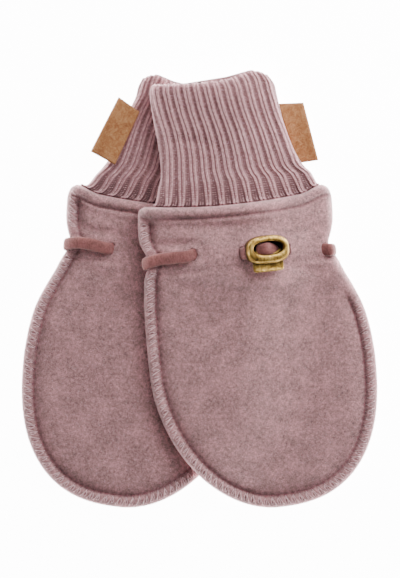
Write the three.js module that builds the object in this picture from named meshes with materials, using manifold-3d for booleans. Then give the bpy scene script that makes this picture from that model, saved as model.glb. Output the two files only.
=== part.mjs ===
// A pair of baby mittens laid flat, one on the other, the lower one turned over.
// Millimetres, +Z up. The pair lies on z = 0, and the fingertips point along -Y.
// Each mitten is drawn in its own frame: u runs across it, v runs from the wrist to the tip,
// and the height counts from what the mitten lies on.

import * as THREE from 'three';
import { mergeVertices } from 'three/addons/utils/BufferGeometryUtils.js';
import Module from 'manifold-3d';

const wasm = await Module();
wasm.setup();

// Cloth and seams
const FLEECE = 2.3; // wall of the upper panel
const FLEECE_UNDER = 1.9; // wall of the panel that is lain on
const SEAM_GAP = 0.3; // clearance between sewn pieces
const WRIST_GAP = 0.7; // clearance along the curved wrist seam
const RIB_WALL = 2.2; // the rib knit, folded double
const RIB_RELIEF = 0.7; // how far a rib stands above its gutter
const CUFF_HOLLOW = 0.4; // between the cuff's two faces, laid flat
const CUFF_MOUTH_ROUND = 1; // how far the folded mouth rounds away
const CUFF_SIDE_EXTRA = 0.3; // the fold at each side is thicker than the wall by this
const RIBS = 12; // ribs across one face of the cuff
const PINCHED_WALL = 1.5; // the upper panel where the drawstring presses on it
const PINCHED_SEAM = 2.1; // how far that panel then stands above the seam

// Where each mitten lies: the middle of its wrist, and the lean of its axis
const WRIST_X = 14.3;
const WRIST_Y = 30;
const LEAN = THREE.MathUtils.degToRad(6.2);

// Outline of a panel beside its straight part, going down from the wrist edge.
// The waist at 17 mm is where the drawstring pulls the cloth in.
const SIDE = [
  { down: 0, left: -34.3, right: 31.9 },
  { down: 1, left: -36.1, right: 33.4 },
  { down: 2.5, left: -36.9, right: 34.4 },
  { down: 4.35, left: -37.2, right: 34.9 },
  { down: 8, left: -37.6, right: 35 },
  { down: 12.5, left: -37.4, right: 34.3 },
  { down: 14.5, left: -36, right: 33.3 },
  { down: 17, left: -34.9, right: 32 },
  { down: 19.5, left: -36, right: 33.3 },
  { down: 22, left: -37.1, right: 34.7 },
  { down: 27, left: -37.9, right: 36.8 },
  { down: 33, left: -38.6, right: 39.6 },
  { down: 40, left: -38.9, right: 42.3 },
  { down: 49, left: -39.1, right: 44.1 },
  { down: 58, left: -39.15, right: 44.85 },
];

// The round tip below the widest place: two superellipse quarters
const TIP = { u: 2.85, v: 58, halfWidth: 42, length: 53.7, leftPower: 1.88, rightPower: 2.5 };
const TIP_STEPS = 18;
const ANGLE_STEP = 0.02;
const MIDDLE_SHIFTS = { from: 30, to: 58 }; // the middle line moves over to the tip's middle
const RAY_TURNS = { from: 4, to: 18 }; // a ray starts square to the edge, then turns to the middle
const FOLD_ENDS = { from: 33, to: 42 }; // the folded side edge turns into the overlocked one

// The wrist edge sags towards the tip in its middle
const WRIST_SAG = { middle: -1.7, rise: 2.3, halfWidth: 32, corner: 1.8, cornerFrom: 23 };
const SAG_FADES = { from: 6, to: 21 };

// Space between the two panels, going down from the wrist edge: the turned-in seam edges
// swell the band at the top, and the drawstring runs inside below it
const LAY = [
  { down: 0, hollow: 3.4 },
  { down: 4, hollow: 3.4 },
  { down: 6.5, hollow: 2.6 },
  { down: 10, hollow: 2.4 },
  { down: 25, hollow: 2.4 },
  { down: 34, hollow: 1.4 },
  { down: 50, hollow: 1 },
  { down: 112, hollow: 0.8 },
];

// Height of the upper panel going in from its edge, as a share of its full height above the
// seam: over the overlocked roll and its needle groove, or over a plain folded edge
const EDGE = [
  { inset: 0, seam: 0.28, fold: 0.25 },
  { inset: 0.8, seam: 0.56, fold: 0.62 },
  { inset: 2.1, seam: 0.66, fold: 0.87 },
  { inset: 3.5, seam: 0.56, fold: 0.95 },
  { inset: 4.4, seam: 0.3, fold: 0.97 },
  { inset: 5.6, seam: 0.55, fold: 0.99 },
  { inset: 8, seam: 0.82, fold: 1 },
  { inset: 12, seam: 0.95, fold: 1 },
  { inset: 18, seam: 1, fold: 1 },
  { inset: 27, seam: 1, fold: 1 },
];
const INNER_INSETS = [0, 2.1, 5.6, 12, 27];

// Rows across the straight part, denser at the wrist band, its stitching and the drawstring
const ROWS = [0, 0.8, 2.2, 3.4, 4.35, 5.3, 7.5, 10.5, 12.6, 14.2, 17, 19.8, 21.5, 24, 28, 33, 40, 49, 58];
const BAND = {
  stitchRow: 4.35, stitchDip: 1, stitchReach: 0.9, stitchInset: 4, edgeDrop: 1.5, edgeInset: 2,
  endsFrom: 3.75, endsTo: 7.35,
};

// How far in from the edge the space between the panels opens, in the body and in the band
const OPENING = { bodyFrom: 4.4, bodyTo: 18, bandFrom: 0.2, bandTo: 2.1 };

// The drawstring: a flat knitted cord, wide across its run, and the row that it follows
const CORD = {
  row: 17, width: 4.5, over: 2.3, inside: 1.4, under: 2, through: 1.6, lock: 2.2, clearance: 0.3, lay: 0.45,
  topLift: 0.3, underDrop: 0.2, edgeLift: 0.2,
};
const CORD_LIFT = { underside: 2.9, seam: 2.3, top: 0.6 }; // how far its under run lifts the cloth

// Its flat oval section as eight corners, which lie a little outside that oval
const CORD_SECTION = { corners: 8, squareness: 0.7, wide: 1.03, thin: 1.08 };

// Where the drawstring is felt: beside its row, and over which parts of the wrist
const PINCH = {
  near: 2.7, far: 6.4, leftFull: -17, leftNone: -12, liftNone: 11, liftFull: 15, dentNone: 18, dentFull: 27,
};

// The cord lock on the upper mitten
const LOCK = {
  u: 8.1, down: 16.6, length: 16.1, width: 10.2, height: 5.6, power: 2.8, bevel: 0.9, steps: 32,
  cordHeight: 1.5, bulge: 2.4, aboveCord: 0.4, besideCord: 0.45,
};
const WINDOW = { length: 11, width: 5, power: 2.2, steps: 24 };
const PLUNGER = {
  length: 11.6, height: 2.1, above: 0.9, inside: 2.1, outside: 3.4, clearance: 0.3, slotExtra: 0.8,
  power: 7, bevel: 0.4, steps: 28,
};
const CUT_OVER = 2; // a cutting shape stands out of the cut one by this

// The drape of the upper mitten over the lower one
const DRAPE = {
  inside: 6, outside: 27, gap: 0.7, cuffTop: 6.6, cordTop: 9, cuffEnds: -4.5, bodyStarts: -0.5,
  wristFades: 20, cordNear: 4, cordFar: 11, cordFull: -18, cordNone: -8,
};
const SLOPE_SPAN = 4; // the drape's slope under the lock is read this far to each side

// Cuff outlines from the wrist seam (share 0) to the mouth (share 1)
const CUFF = {
  upper: [
    { share: 0, leftU: -31.6, leftV: -4.2, rightU: 31, rightV: -5.6 },
    { share: 0.1, leftU: -29.6, leftV: -8.4, rightU: 29.4, rightV: -9.6 },
    { share: 0.22, leftU: -27.4, leftV: -13.8, rightU: 26.2, rightV: -13.2 },
    { share: 0.38, leftU: -26.8, leftV: -21.2, rightU: 23.5, rightV: -18.6 },
    { share: 0.55, leftU: -27.1, leftV: -28.6, rightU: 21.4, rightV: -25.5 },
    { share: 0.72, leftU: -27.7, leftV: -36.2, rightU: 19.8, rightV: -33 },
    { share: 0.88, leftU: -28, leftV: -43.7, rightU: 18.8, rightV: -41 },
    { share: 0.95, leftU: -27.8, leftV: -46.6, rightU: 18.2, rightV: -44.8 },
    { share: 1, leftU: -26.7, leftV: -48.6, rightU: 16.2, rightV: -47.9 },
  ],
  lower: [
    { share: 0, leftU: -31.4, leftV: -4.2, rightU: 30.6, rightV: -4.6 },
    { share: 0.1, leftU: -29.2, leftV: -8, rightU: 27.2, rightV: -8.2 },
    { share: 0.22, leftU: -27.3, leftV: -13.2, rightU: 23.1, rightV: -13.2 },
    { share: 0.38, leftU: -26.8, leftV: -20, rightU: 19.8, rightV: -20 },
    { share: 0.55, leftU: -26.9, leftV: -27.2, rightU: 17.8, rightV: -27.2 },
    { share: 0.72, leftU: -27, leftV: -34.2, rightU: 15.9, rightV: -34.6 },
    { share: 0.88, leftU: -26.8, leftV: -41, rightU: 13.7, rightV: -41.2 },
    { share: 0.95, leftU: -26.4, leftV: -43.6, rightU: 13.2, rightV: -44.5 },
    { share: 1, leftU: -25.2, leftV: -45.4, rightU: 12, rightV: -47.2 },
  ],
};
// The mouth stands up towards its right end
const MOUTH = [
  { across: 0, rise: 0 },
  { across: 0.35, rise: -0.7 },
  { across: 0.65, rise: -0.3 },
  { across: 0.9, rise: 1.9 },
  { across: 1, rise: 0 },
];
const MOUTH_FROM = 0.6; // the share from which the rows take on the mouth's curve
const WRIST_TO = 0.16; // the share up to which they still follow the wrist's sag
const CUFF_SHARES = [0.02, 0.07, 0.14, 0.22, 0.32, 0.43, 0.55, 0.67, 0.78, 0.88, 0.95, 0.985];
const CUFF_UNDERSIDE = [0.985, 0.8, 0.6, 0.4, 0.2, 0.015]; // shares across, from the right
const CUFF_INSIDE = [0.25, 0.5, 0.75];
const RIB_PROFILE = [
  { phase: 0, height: 0 },
  { phase: 0.22, height: 0.8 },
  { phase: 0.5, height: 1 },
  { phase: 0.78, height: 0.8 },
];

// Label tabs, folded once: four corners, and the heights of the inner and outer long edges
const LABEL = { thickness: 1.1, columns: 5 };
const LABEL_CORNERS = {
  upper: [
    { edge: 'inner', u: 19.6, v: -37.2, height: 0.3 },
    { edge: 'outer', u: 27.9, v: -36.8, height: 0.3 },
    { edge: 'outer', u: 31.2, v: -14.9, height: 0.3 },
    { edge: 'inner', u: 25.4, v: -14.5, height: 0.3 },
  ],
  lower: [
    { edge: 'inner', u: 11.7, v: -34.9, height: 6.4 },
    { edge: 'outer', u: 19.6, v: -39.4, height: 4.1 },
    { edge: 'outer', u: 27.7, v: -18.2, height: 4.1 },
    { edge: 'inner', u: 18.7, v: -14.4, height: 6.4 },
  ],
};

// Drawstring routes, once round the wrist. It lies over the top panel, under the lower one,
// inside between them, or in the lock.
const ROUTE = {
  upper: [
    { u: 8.1, down: 16.7, lies: 'bulge' },
    { u: 3.6, down: 16.8, lies: 'lock' },
    { u: 1.2, down: 16.9, lies: 'lock' },
    { u: -0.9, down: 17, lies: 'throughTop' },
    { u: -3.5, down: 17, lies: 'inside' },
    { u: -10, down: 15.8, lies: 'inside' },
    { u: -15.6, down: 15.4, lies: 'inside' },
    { u: -18.3, down: 15.8, lies: 'throughTop' },
    { u: -21, down: 16.2, lies: 'over' },
    { u: -25, down: 16.2, lies: 'over' },
    { u: -31, down: 16.4, lies: 'over' },
    { u: -34.6, down: 16.9, lies: 'over' },
    { u: -36.6, down: 17.4, lies: 'leftEdge' },
    { u: -34.4, down: 17.4, lies: 'under' },
    { u: -27, down: 17, lies: 'under' },
    { u: -21, down: 18.2, lies: 'under' },
    { u: -18.2, down: 20.4, lies: 'throughUnder' },
    { u: -15, down: 21.8, lies: 'inside' },
    { u: -8, down: 22.4, lies: 'inside' },
    { u: 4, down: 22.4, lies: 'inside' },
    { u: 11.2, down: 21.6, lies: 'inside' },
    { u: 14.2, down: 20, lies: 'throughUnder' },
    { u: 17.2, down: 18.4, lies: 'under' },
    { u: 23, down: 17.6, lies: 'under' },
    { u: 31.2, down: 18.2, lies: 'under' },
    { u: 33.6, down: 18.4, lies: 'rightEdge' },
    { u: 32.4, down: 18.2, lies: 'over' },
    { u: 29.4, down: 17.8, lies: 'throughTop' },
    { u: 27, down: 17.5, lies: 'inside' },
    { u: 19.6, down: 17.4, lies: 'inside' },
    { u: 16.9, down: 17.3, lies: 'throughTop' },
    { u: 14.6, down: 17, lies: 'lock' },
    { u: 12, down: 16.8, lies: 'lock' },
  ],
  lower: [
    { u: 2, down: 15.6, lies: 'inside' },
    { u: 13.7, down: 17, lies: 'inside' },
    { u: 16.3, down: 17, lies: 'throughTop' },
    { u: 18.9, down: 17, lies: 'over' },
    { u: 24, down: 16.5, lies: 'over' },
    { u: 29, down: 16.7, lies: 'over' },
    { u: 32.2, down: 17.2, lies: 'over' },
    { u: 33.6, down: 17.6, lies: 'rightEdge' },
    { u: 31.2, down: 17.9, lies: 'under' },
    { u: 25.2, down: 18, lies: 'under' },
    { u: 22.2, down: 19.4, lies: 'throughUnder' },
    { u: 19.2, down: 21.2, lies: 'inside' },
    { u: 12, down: 22.4, lies: 'inside' },
    { u: 2, down: 22.4, lies: 'inside' },
    { u: -11, down: 22.4, lies: 'inside' },
    { u: -15, down: 21.8, lies: 'inside' },
    { u: -18.2, down: 20.4, lies: 'throughUnder' },
    { u: -21, down: 18.2, lies: 'under' },
    { u: -27, down: 17, lies: 'under' },
    { u: -34.4, down: 17, lies: 'under' },
    { u: -36.6, down: 17, lies: 'leftEdge' },
    { u: -34.6, down: 16.9, lies: 'over' },
    { u: -27, down: 16.6, lies: 'over' },
    { u: -19.6, down: 16.3, lies: 'over' },
    { u: -16.9, down: 15.8, lies: 'throughTop' },
    { u: -14.2, down: 15.4, lies: 'inside' },
  ],
};

// Colours
const FLEECE_ROSE = { color: 0xab8e90, roughness: 0.95, metalness: 0 };
const RIB_ROSE = { color: 0xb59597, roughness: 0.9, metalness: 0 };
const CORD_CLAY = { color: 0x9a5f5b, roughness: 0.85, metalness: 0 };
const BRASS = { color: 0xc0a05c, roughness: 0.3, metalness: 1 };
const LABEL_BROWN = { color: 0xb98258, roughness: 0.8, metalness: 0 };

// Curve helpers

function mix(a, b, share) {
  return a + (b - a) * share;
}

function smooth(from, to, value) {
  const t = Math.min(1, Math.max(0, (value - from) / (to - from)));
  return t * t * (3 - 2 * t);
}

// A smooth reading of one column of a table, by the column that its rows are ordered by
function read(rows, by, column, value) {
  const last = rows.length - 1;
  if (value <= rows[0][by]) return rows[0][column];
  if (value >= rows[last][by]) return rows[last][column];
  let i = 0;
  while (rows[i + 1][by] < value) i += 1;
  const slope = (k) => {
    const before = rows[Math.max(0, k - 1)];
    const after = rows[Math.min(last, k + 1)];
    return (after[column] - before[column]) / (after[by] - before[by]);
  };
  const span = rows[i + 1][by] - rows[i][by];
  const t = (value - rows[i][by]) / span;
  const start = rows[i][column];
  const end = rows[i + 1][column];
  const easing = t * t * (3 - 2 * t);
  const bendIn = slope(i) * span * t * (1 - t) ** 2;
  const bendOut = slope(i + 1) * span * t * t * (1 - t);
  return mix(start, end, easing) + bendIn - bendOut;
}

// The mitten's flat outline

function sag(u) {
  return WRIST_SAG.middle - WRIST_SAG.rise * (u / WRIST_SAG.halfWidth) ** 2
    - WRIST_SAG.corner * smooth(WRIST_SAG.cornerFrom, WRIST_SAG.halfWidth, u);
}

function rowV(down, u) {
  return down + sag(u) * (1 - smooth(SAG_FADES.from, SAG_FADES.to, down));
}

function leftAt(down) {
  return read(SIDE, 'down', 'left', down);
}

function rightAt(down) {
  return read(SIDE, 'down', 'right', down);
}

// Each ray goes from a place on the outline to the middle line. Its normal points inwards.
function sideRay(down, side) {
  const u = side < 0 ? leftAt(down) : rightAt(down);
  const toTip = smooth(MIDDLE_SHIFTS.from, MIDDLE_SHIFTS.to, down);
  const middle = mix((leftAt(down) + rightAt(down)) / 2, TIP.u, toTip);
  return {
    down,
    side,
    edge: new THREE.Vector2(u, rowV(down, u)),
    normal: new THREE.Vector2(-side, 0),
    middle: new THREE.Vector2(middle, rowV(down, middle)),
  };
}

function tipPoint(angle) {
  const power = angle < Math.PI / 2 ? TIP.leftPower : TIP.rightPower;
  const across = Math.abs(Math.cos(angle)) ** (2 / power) * Math.sign(Math.cos(angle));
  const along = Math.sin(angle) ** (2 / power);
  return new THREE.Vector2(TIP.u - TIP.halfWidth * across, TIP.v + TIP.length * along);
}

function tipRay(angle) {
  const edge = tipPoint(angle);
  const tangent = tipPoint(angle + ANGLE_STEP).sub(tipPoint(angle - ANGLE_STEP)).normalize();
  return {
    down: edge.y,
    side: angle < Math.PI / 2 ? -1 : 1,
    edge,
    normal: new THREE.Vector2(tangent.y, -tangent.x),
    middle: new THREE.Vector2(TIP.u, TIP.v),
  };
}

function outlineRays() {
  const rays = ROWS.map((down) => sideRay(down, -1));
  for (let i = 1; i < TIP_STEPS; i += 1) {
    rays.push(tipRay((Math.PI * i) / TIP_STEPS));
  }
  rays.push(...ROWS.map((down) => sideRay(down, 1)).reverse());
  return rays;
}

const RAYS = outlineRays();

// A place on a ray, at a distance in from the outline. Rows near the wrist follow its sag.
function onRay(ray, inset) {
  const along = ray.edge.clone().addScaledVector(ray.normal, inset);
  const toMiddle = ray.middle.clone().sub(ray.edge);
  const straight = ray.edge.clone().addScaledVector(toMiddle, inset / toMiddle.length());
  const place = along.lerp(straight, smooth(RAY_TURNS.from, RAY_TURNS.to, inset));
  if (ray.edge.y < TIP.v && ray.down < TIP.v) place.y = rowV(ray.down, place.x);
  return place;
}

// Heights of the cloth's four surfaces above what the mitten lies on

// How strongly the drawstring presses: its under run lifts the cloth, its over run dents it
function cordPinch(down, u) {
  const beside = 1 - smooth(PINCH.near, PINCH.far, Math.abs(down - CORD.row));
  const leftRun = 1 - smooth(PINCH.leftFull, PINCH.leftNone, u);
  return {
    lift: beside * Math.max(leftRun, smooth(PINCH.liftNone, PINCH.liftFull, u)),
    dent: beside * Math.max(leftRun, smooth(PINCH.dentNone, PINCH.dentFull, u)),
  };
}

function clothHeights(down, u, inset, foldEdge) {
  const pinch = cordPinch(down, u);
  const seam = FLEECE_UNDER + SEAM_GAP / 2 + CORD_LIFT.seam * pinch.lift;
  const wall = mix(FLEECE, PINCHED_WALL, pinch.dent);
  const open = read(LAY, 'down', 'hollow', down);
  const pressed = Math.max(pinch.lift * CORD_LIFT.top, pinch.dent);
  const full = mix(FLEECE_UNDER + open + FLEECE, seam + PINCHED_SEAM, pressed);
  const band = 1 - smooth(BAND.endsFrom, BAND.endsTo, down);
  const plain = Math.max(band, foldEdge);
  const share = mix(read(EDGE, 'inset', 'seam', inset), read(EDGE, 'inset', 'fold', inset), plain);
  const bodyOpening = smooth(OPENING.bodyFrom, OPENING.bodyTo, inset);
  const opening = mix(bodyOpening, smooth(OPENING.bandFrom, OPENING.bandTo, inset), band);
  const stitch = BAND.stitchDip * (1 - smooth(0, BAND.stitchReach, Math.abs(down - BAND.stitchRow)));
  const drop = BAND.edgeDrop * (1 - smooth(0, BAND.edgeDrop, down));
  const stitchShare = Math.min(1, inset / BAND.stitchInset);
  const dropShare = Math.min(1, inset / BAND.edgeInset);
  const floor = seam + SEAM_GAP / 2;
  return {
    underside: CORD_LIFT.underside * pinch.lift,
    lowerTop: seam - SEAM_GAP / 2,
    upperUnder: Math.max(floor, mix(floor, full - wall, opening)),
    top: seam + share * (full - seam) - stitchShare * stitch - dropShare * drop,
  };
}

// The same heights near the straight part, by u alone
function heightsAt(u, down) {
  const inset = Math.max(0, Math.min(u - leftAt(down), rightAt(down) - u));
  return clothHeights(down, u, inset, 0);
}

// Placing a mitten

function toWorld(u, v, turnedOver) {
  const x = WRIST_X + u * Math.cos(LEAN) + v * Math.sin(LEAN);
  const y = WRIST_Y + u * Math.sin(LEAN) - v * Math.cos(LEAN);
  return new THREE.Vector2(turnedOver ? -x : x, y);
}

function fromWorld(x, y, turnedOver) {
  const across = (turnedOver ? -x : x) - WRIST_X;
  const up = y - WRIST_Y;
  return {
    u: across * Math.cos(LEAN) + up * Math.sin(LEAN),
    v: across * Math.sin(LEAN) - up * Math.cos(LEAN),
  };
}

function cuffRow(rows, share) {
  const at = (column) => read(rows, 'share', column, share);
  return { leftU: at('leftU'), leftV: at('leftV'), rightU: at('rightU'), rightV: at('rightV') };
}

// Signed distance to the lower mitten's outline, below zero inside it
const lowerOutline = [
  ...RAYS.map((ray) => toWorld(ray.edge.x, ray.edge.y, true)),
  ...CUFF.lower.map((row) => toWorld(row.rightU, row.rightV, true)),
  ...CUFF.lower.map((row) => toWorld(row.leftU, row.leftV, true)).reverse(),
];

function distanceToLower(x, y) {
  let nearest = Infinity;
  let inside = false;
  for (let i = 0; i < lowerOutline.length; i += 1) {
    const a = lowerOutline[i];
    const b = lowerOutline[(i + 1) % lowerOutline.length];
    const edge = b.clone().sub(a);
    const t = Math.min(1, Math.max(0, ((x - a.x) * edge.x + (y - a.y) * edge.y) / edge.lengthSq()));
    nearest = Math.min(nearest, Math.hypot(x - a.x - t * edge.x, y - a.y - t * edge.y));
    if ((a.y > y) !== (b.y > y) && x < a.x + (edge.x * (y - a.y)) / edge.y) inside = !inside;
  }
  return inside ? -nearest : nearest;
}

// The surface that the upper mitten lies on: the lower mitten's top, falling to the floor
function drape(x, y) {
  const spot = fromWorld(x, y, true);
  const down = spot.v - sag(spot.u) * (1 - smooth(0, DRAPE.wristFades, spot.v));
  const cloth = FLEECE_UNDER + read(LAY, 'down', 'hollow', Math.max(0, down)) + FLEECE;
  const fromCord = smooth(DRAPE.cordNear, DRAPE.cordFar, Math.abs(down - CORD.row));
  const cordRun = (1 - fromCord) * (1 - smooth(DRAPE.cordFull, DRAPE.cordNone, spot.u));
  const body = mix(cloth, DRAPE.cordTop, cordRun);
  const top = mix(DRAPE.cuffTop, body, smooth(DRAPE.cuffEnds, DRAPE.bodyStarts, down)) + DRAPE.gap;
  return top * (1 - smooth(-DRAPE.inside, DRAPE.outside, distanceToLower(x, y)));
}

function flat() {
  return 0;
}

// Mesh building

const MERGE = 1e-3;

// Drops the faces whose corners fell together when shared corners were merged
function withoutSlivers(geometry) {
  const corners = geometry.index.array;
  const kept = [];
  for (let i = 0; i < corners.length; i += 3) {
    const [a, b, c] = [corners[i], corners[i + 1], corners[i + 2]];
    if (a !== b && b !== c && a !== c) kept.push(a, b, c);
  }
  geometry.setIndex(kept);
  return geometry;
}

// Collects corners and faces. Faces are given as seen from above, or turned where asked.
class Cloth {
  constructor(turnedOver, base) {
    this.turnedOver = turnedOver;
    this.base = base;
    this.positions = [];
    this.faces = [];
  }

  point(u, v, height) {
    const place = toWorld(u, v, this.turnedOver);
    this.positions.push(place.x, place.y, this.base(place.x, place.y) + height);
    return this.positions.length / 3 - 1;
  }

  face(a, b, c) {
    if (a === b || b === c || a === c) return;
    this.faces.push(a, this.turnedOver ? c : b, this.turnedOver ? b : c);
  }

  quad(a, b, c, d) {
    this.face(a, b, c);
    this.face(a, c, d);
  }

  // Joins two closed or open chains of different counts, walking both by their share
  stitch(first, second, flip) {
    let i = 0;
    let j = 0;
    while (i < first.length - 1 || j < second.length - 1) {
      const stepFirst = (i + 1) / (first.length - 1);
      const stepSecond = (j + 1) / (second.length - 1);
      const moveFirst = j === second.length - 1 || (i < first.length - 1 && stepFirst <= stepSecond);
      const next = moveFirst ? first[i + 1] : second[j + 1];
      if (flip) this.face(first[i], next, second[j]);
      else this.face(first[i], second[j], next);
      if (moveFirst) i += 1;
      else j += 1;
    }
  }

  geometry() {
    const raw = new THREE.BufferGeometry();
    raw.setAttribute('position', new THREE.Float32BufferAttribute(this.positions, 3));
    raw.setIndex(this.faces);
    return withoutSlivers(mergeVertices(raw, MERGE));
  }
}

// One face of a panel: chains of corners from the edge to the middle, one chain for each ray
function panelFace(cloth, insets, heightOf, outward) {
  const chains = RAYS.map((ray) => {
    const chain = insets.map((inset) => {
      const place = onRay(ray, inset);
      return cloth.point(place.x, place.y, heightOf(ray, place, inset));
    });
    const reach = ray.middle.distanceTo(ray.edge);
    chain.push(cloth.point(ray.middle.x, ray.middle.y, heightOf(ray, ray.middle, reach)));
    return chain;
  });
  for (let i = 0; i + 1 < chains.length; i += 1) {
    for (let k = 0; k + 1 < chains[i].length; k += 1) {
      const corners = [chains[i][k], chains[i + 1][k], chains[i + 1][k + 1], chains[i][k + 1]];
      if (!outward) corners.reverse();
      cloth.quad(...corners);
    }
  }
  return chains;
}

// A panel between two height fields: its upper and lower faces, its seam edge and wrist edge
function panel(turnedOver, base, upperInsets, upperHeight, lowerInsets, lowerHeight) {
  const cloth = new Cloth(turnedOver, base);
  const upper = panelFace(cloth, upperInsets, upperHeight, true);
  const lower = panelFace(cloth, lowerInsets, lowerHeight, false);
  for (let i = 0; i + 1 < RAYS.length; i += 1) {
    cloth.quad(lower[i][0], lower[i + 1][0], upper[i + 1][0], upper[i][0]);
  }
  const end = RAYS.length - 1;
  const wristOf = (chains) => [...chains[0], ...[...chains[end]].reverse().slice(1)];
  cloth.stitch(wristOf(upper), wristOf(lower), true);
  return cloth.geometry();
}

function foldWeight(ray, foldedSide) {
  return foldedSide && ray.side > 0 ? 1 - smooth(FOLD_ENDS.from, FOLD_ENDS.to, ray.down) : 0;
}

// How far down the mitten a place on a ray is: along its row, or by its own v in the tip
function downOn(ray, place) {
  return ray.down < TIP.v ? ray.down : place.y;
}

function topPanel(turnedOver, base, foldedSide) {
  const at = (ray, place, inset) => clothHeights(
    downOn(ray, place), place.x, inset, foldWeight(ray, foldedSide),
  );
  return panel(
    turnedOver, base,
    EDGE.map((row) => row.inset), (ray, place, inset) => at(ray, place, inset).top,
    INNER_INSETS, (ray, place, inset) => at(ray, place, inset).upperUnder,
  );
}

function bottomPanel(turnedOver, base) {
  const at = (ray, place, inset) => clothHeights(downOn(ray, place), place.x, inset, 0);
  return panel(
    turnedOver, base,
    INNER_INSETS, (ray, place, inset) => at(ray, place, inset).lowerTop,
    INNER_INSETS, (ray, place, inset) => at(ray, place, inset).underside,
  );
}

// The cuff: a flattened tube. Its ribbed top, its rounded sides, its plain underside and inside.

function cuffPlace(rows, share, across) {
  const row = cuffRow(rows, share);
  const u = mix(row.leftU, row.rightU, across);
  const line = mix(row.leftV, row.rightV, across);
  const mouth = read(MOUTH, 'across', 'rise', across) * smooth(MOUTH_FROM, 1, share);
  return { u, v: mix(sag(u) - WRIST_GAP, line - mouth, smooth(0, WRIST_TO, share)) };
}

function cuffOuterRing(cloth, rows, share, shrink) {
  const middle = RIB_WALL + CUFF_HOLLOW / 2;
  const half = middle - shrink;
  const ring = [];
  const columns = RIBS * RIB_PROFILE.length;
  const width = cuffPlace(rows, share, 1).u - cuffPlace(rows, share, 0).u;
  for (let i = 0; i <= columns; i += 1) {
    const place = cuffPlace(rows, share, i / columns);
    const fromSide = Math.min(1, (Math.min(i, columns - i) / columns) * (width / half));
    const round = Math.sqrt(1 - (1 - fromSide) ** 2);
    const rib = RIB_PROFILE[i % RIB_PROFILE.length].height * RIB_RELIEF * round;
    ring.push(cloth.point(place.u, place.v, middle + half * round + rib));
  }
  for (const across of CUFF_UNDERSIDE) {
    const place = cuffPlace(rows, share, across);
    ring.push(cloth.point(place.u, place.v, middle - half));
  }
  ring.push(ring[0]);
  return ring;
}

function cuffInnerRing(cloth, rows, share) {
  const width = cuffPlace(rows, share, 1).u - cuffPlace(rows, share, 0).u;
  const side = (RIB_WALL + CUFF_SIDE_EXTRA) / width;
  const stations = [side, ...CUFF_INSIDE, 1 - side];
  const ring = [];
  for (const across of stations) {
    const place = cuffPlace(rows, share, across);
    ring.push(cloth.point(place.u, place.v, RIB_WALL + CUFF_HOLLOW));
  }
  for (const across of [...stations].reverse()) {
    const place = cuffPlace(rows, share, across);
    ring.push(cloth.point(place.u, place.v, RIB_WALL));
  }
  ring.push(ring[0]);
  return ring;
}

function cuff(turnedOver, base, rows) {
  const cloth = new Cloth(turnedOver, base);
  const stations = [0, ...CUFF_SHARES, 1];
  const roundAt = (share) => (share === 1 ? CUFF_MOUTH_ROUND : 0);
  const outer = stations.map((share) => cuffOuterRing(cloth, rows, share, roundAt(share)));
  const inner = stations.map((share) => cuffInnerRing(cloth, rows, share));
  for (let i = 0; i + 1 < stations.length; i += 1) {
    for (let k = 0; k + 1 < outer[i].length; k += 1) {
      cloth.quad(outer[i][k], outer[i][k + 1], outer[i + 1][k + 1], outer[i + 1][k]);
    }
    for (let k = 0; k + 1 < inner[i].length; k += 1) {
      cloth.quad(inner[i][k + 1], inner[i][k], inner[i + 1][k], inner[i + 1][k + 1]);
    }
  }
  const last = stations.length - 1;
  cloth.stitch(outer[last], inner[last], true);
  cloth.stitch(outer[0], inner[0], false);
  return cloth.geometry();
}

// A label tab: a thin folded plate between its inner and outer long edges
function label(turnedOver, base, corners) {
  const cloth = new Cloth(turnedOver, base);
  const [innerTop, outerTop, outerLow, innerLow] = corners;
  const rows = [];
  for (const height of [0, LABEL.thickness]) {
    for (let i = 0; i < LABEL.columns; i += 1) {
      const share = i / (LABEL.columns - 1);
      const row = [];
      for (const [from, to] of [[innerTop, outerTop], [innerLow, outerLow]]) {
        const u = mix(from.u, to.u, share);
        const v = mix(from.v, to.v, share);
        row.push(cloth.point(u, v, mix(from.height, to.height, share) + height));
      }
      rows.push(row);
    }
  }
  const low = rows.slice(0, LABEL.columns);
  const high = rows.slice(LABEL.columns);
  for (let i = 0; i + 1 < LABEL.columns; i += 1) {
    cloth.quad(high[i][0], high[i][1], high[i + 1][1], high[i + 1][0]);
    cloth.quad(low[i + 1][0], low[i + 1][1], low[i][1], low[i][0]);
    cloth.quad(low[i][0], high[i][0], high[i + 1][0], low[i + 1][0]);
    cloth.quad(low[i + 1][1], high[i + 1][1], high[i][1], low[i][1]);
  }
  const end = LABEL.columns - 1;
  cloth.quad(low[0][1], high[0][1], high[0][0], low[0][0]);
  cloth.quad(low[end][0], high[end][0], high[end][1], low[end][1]);
  return cloth.geometry();
}

// The drawstring, swept round its closed route with its wide side across the run

const lockFloor = heightsAt(LOCK.u, LOCK.down).top + SEAM_GAP;

function cordThickness(lies) {
  if (lies === 'inside') return CORD.inside;
  if (lies === 'under' || lies.endsWith('Edge')) return CORD.under;
  if (lies === 'lock' || lies === 'bulge') return CORD.lock;
  if (lies.startsWith('through')) return CORD.through;
  return CORD.over;
}

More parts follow.
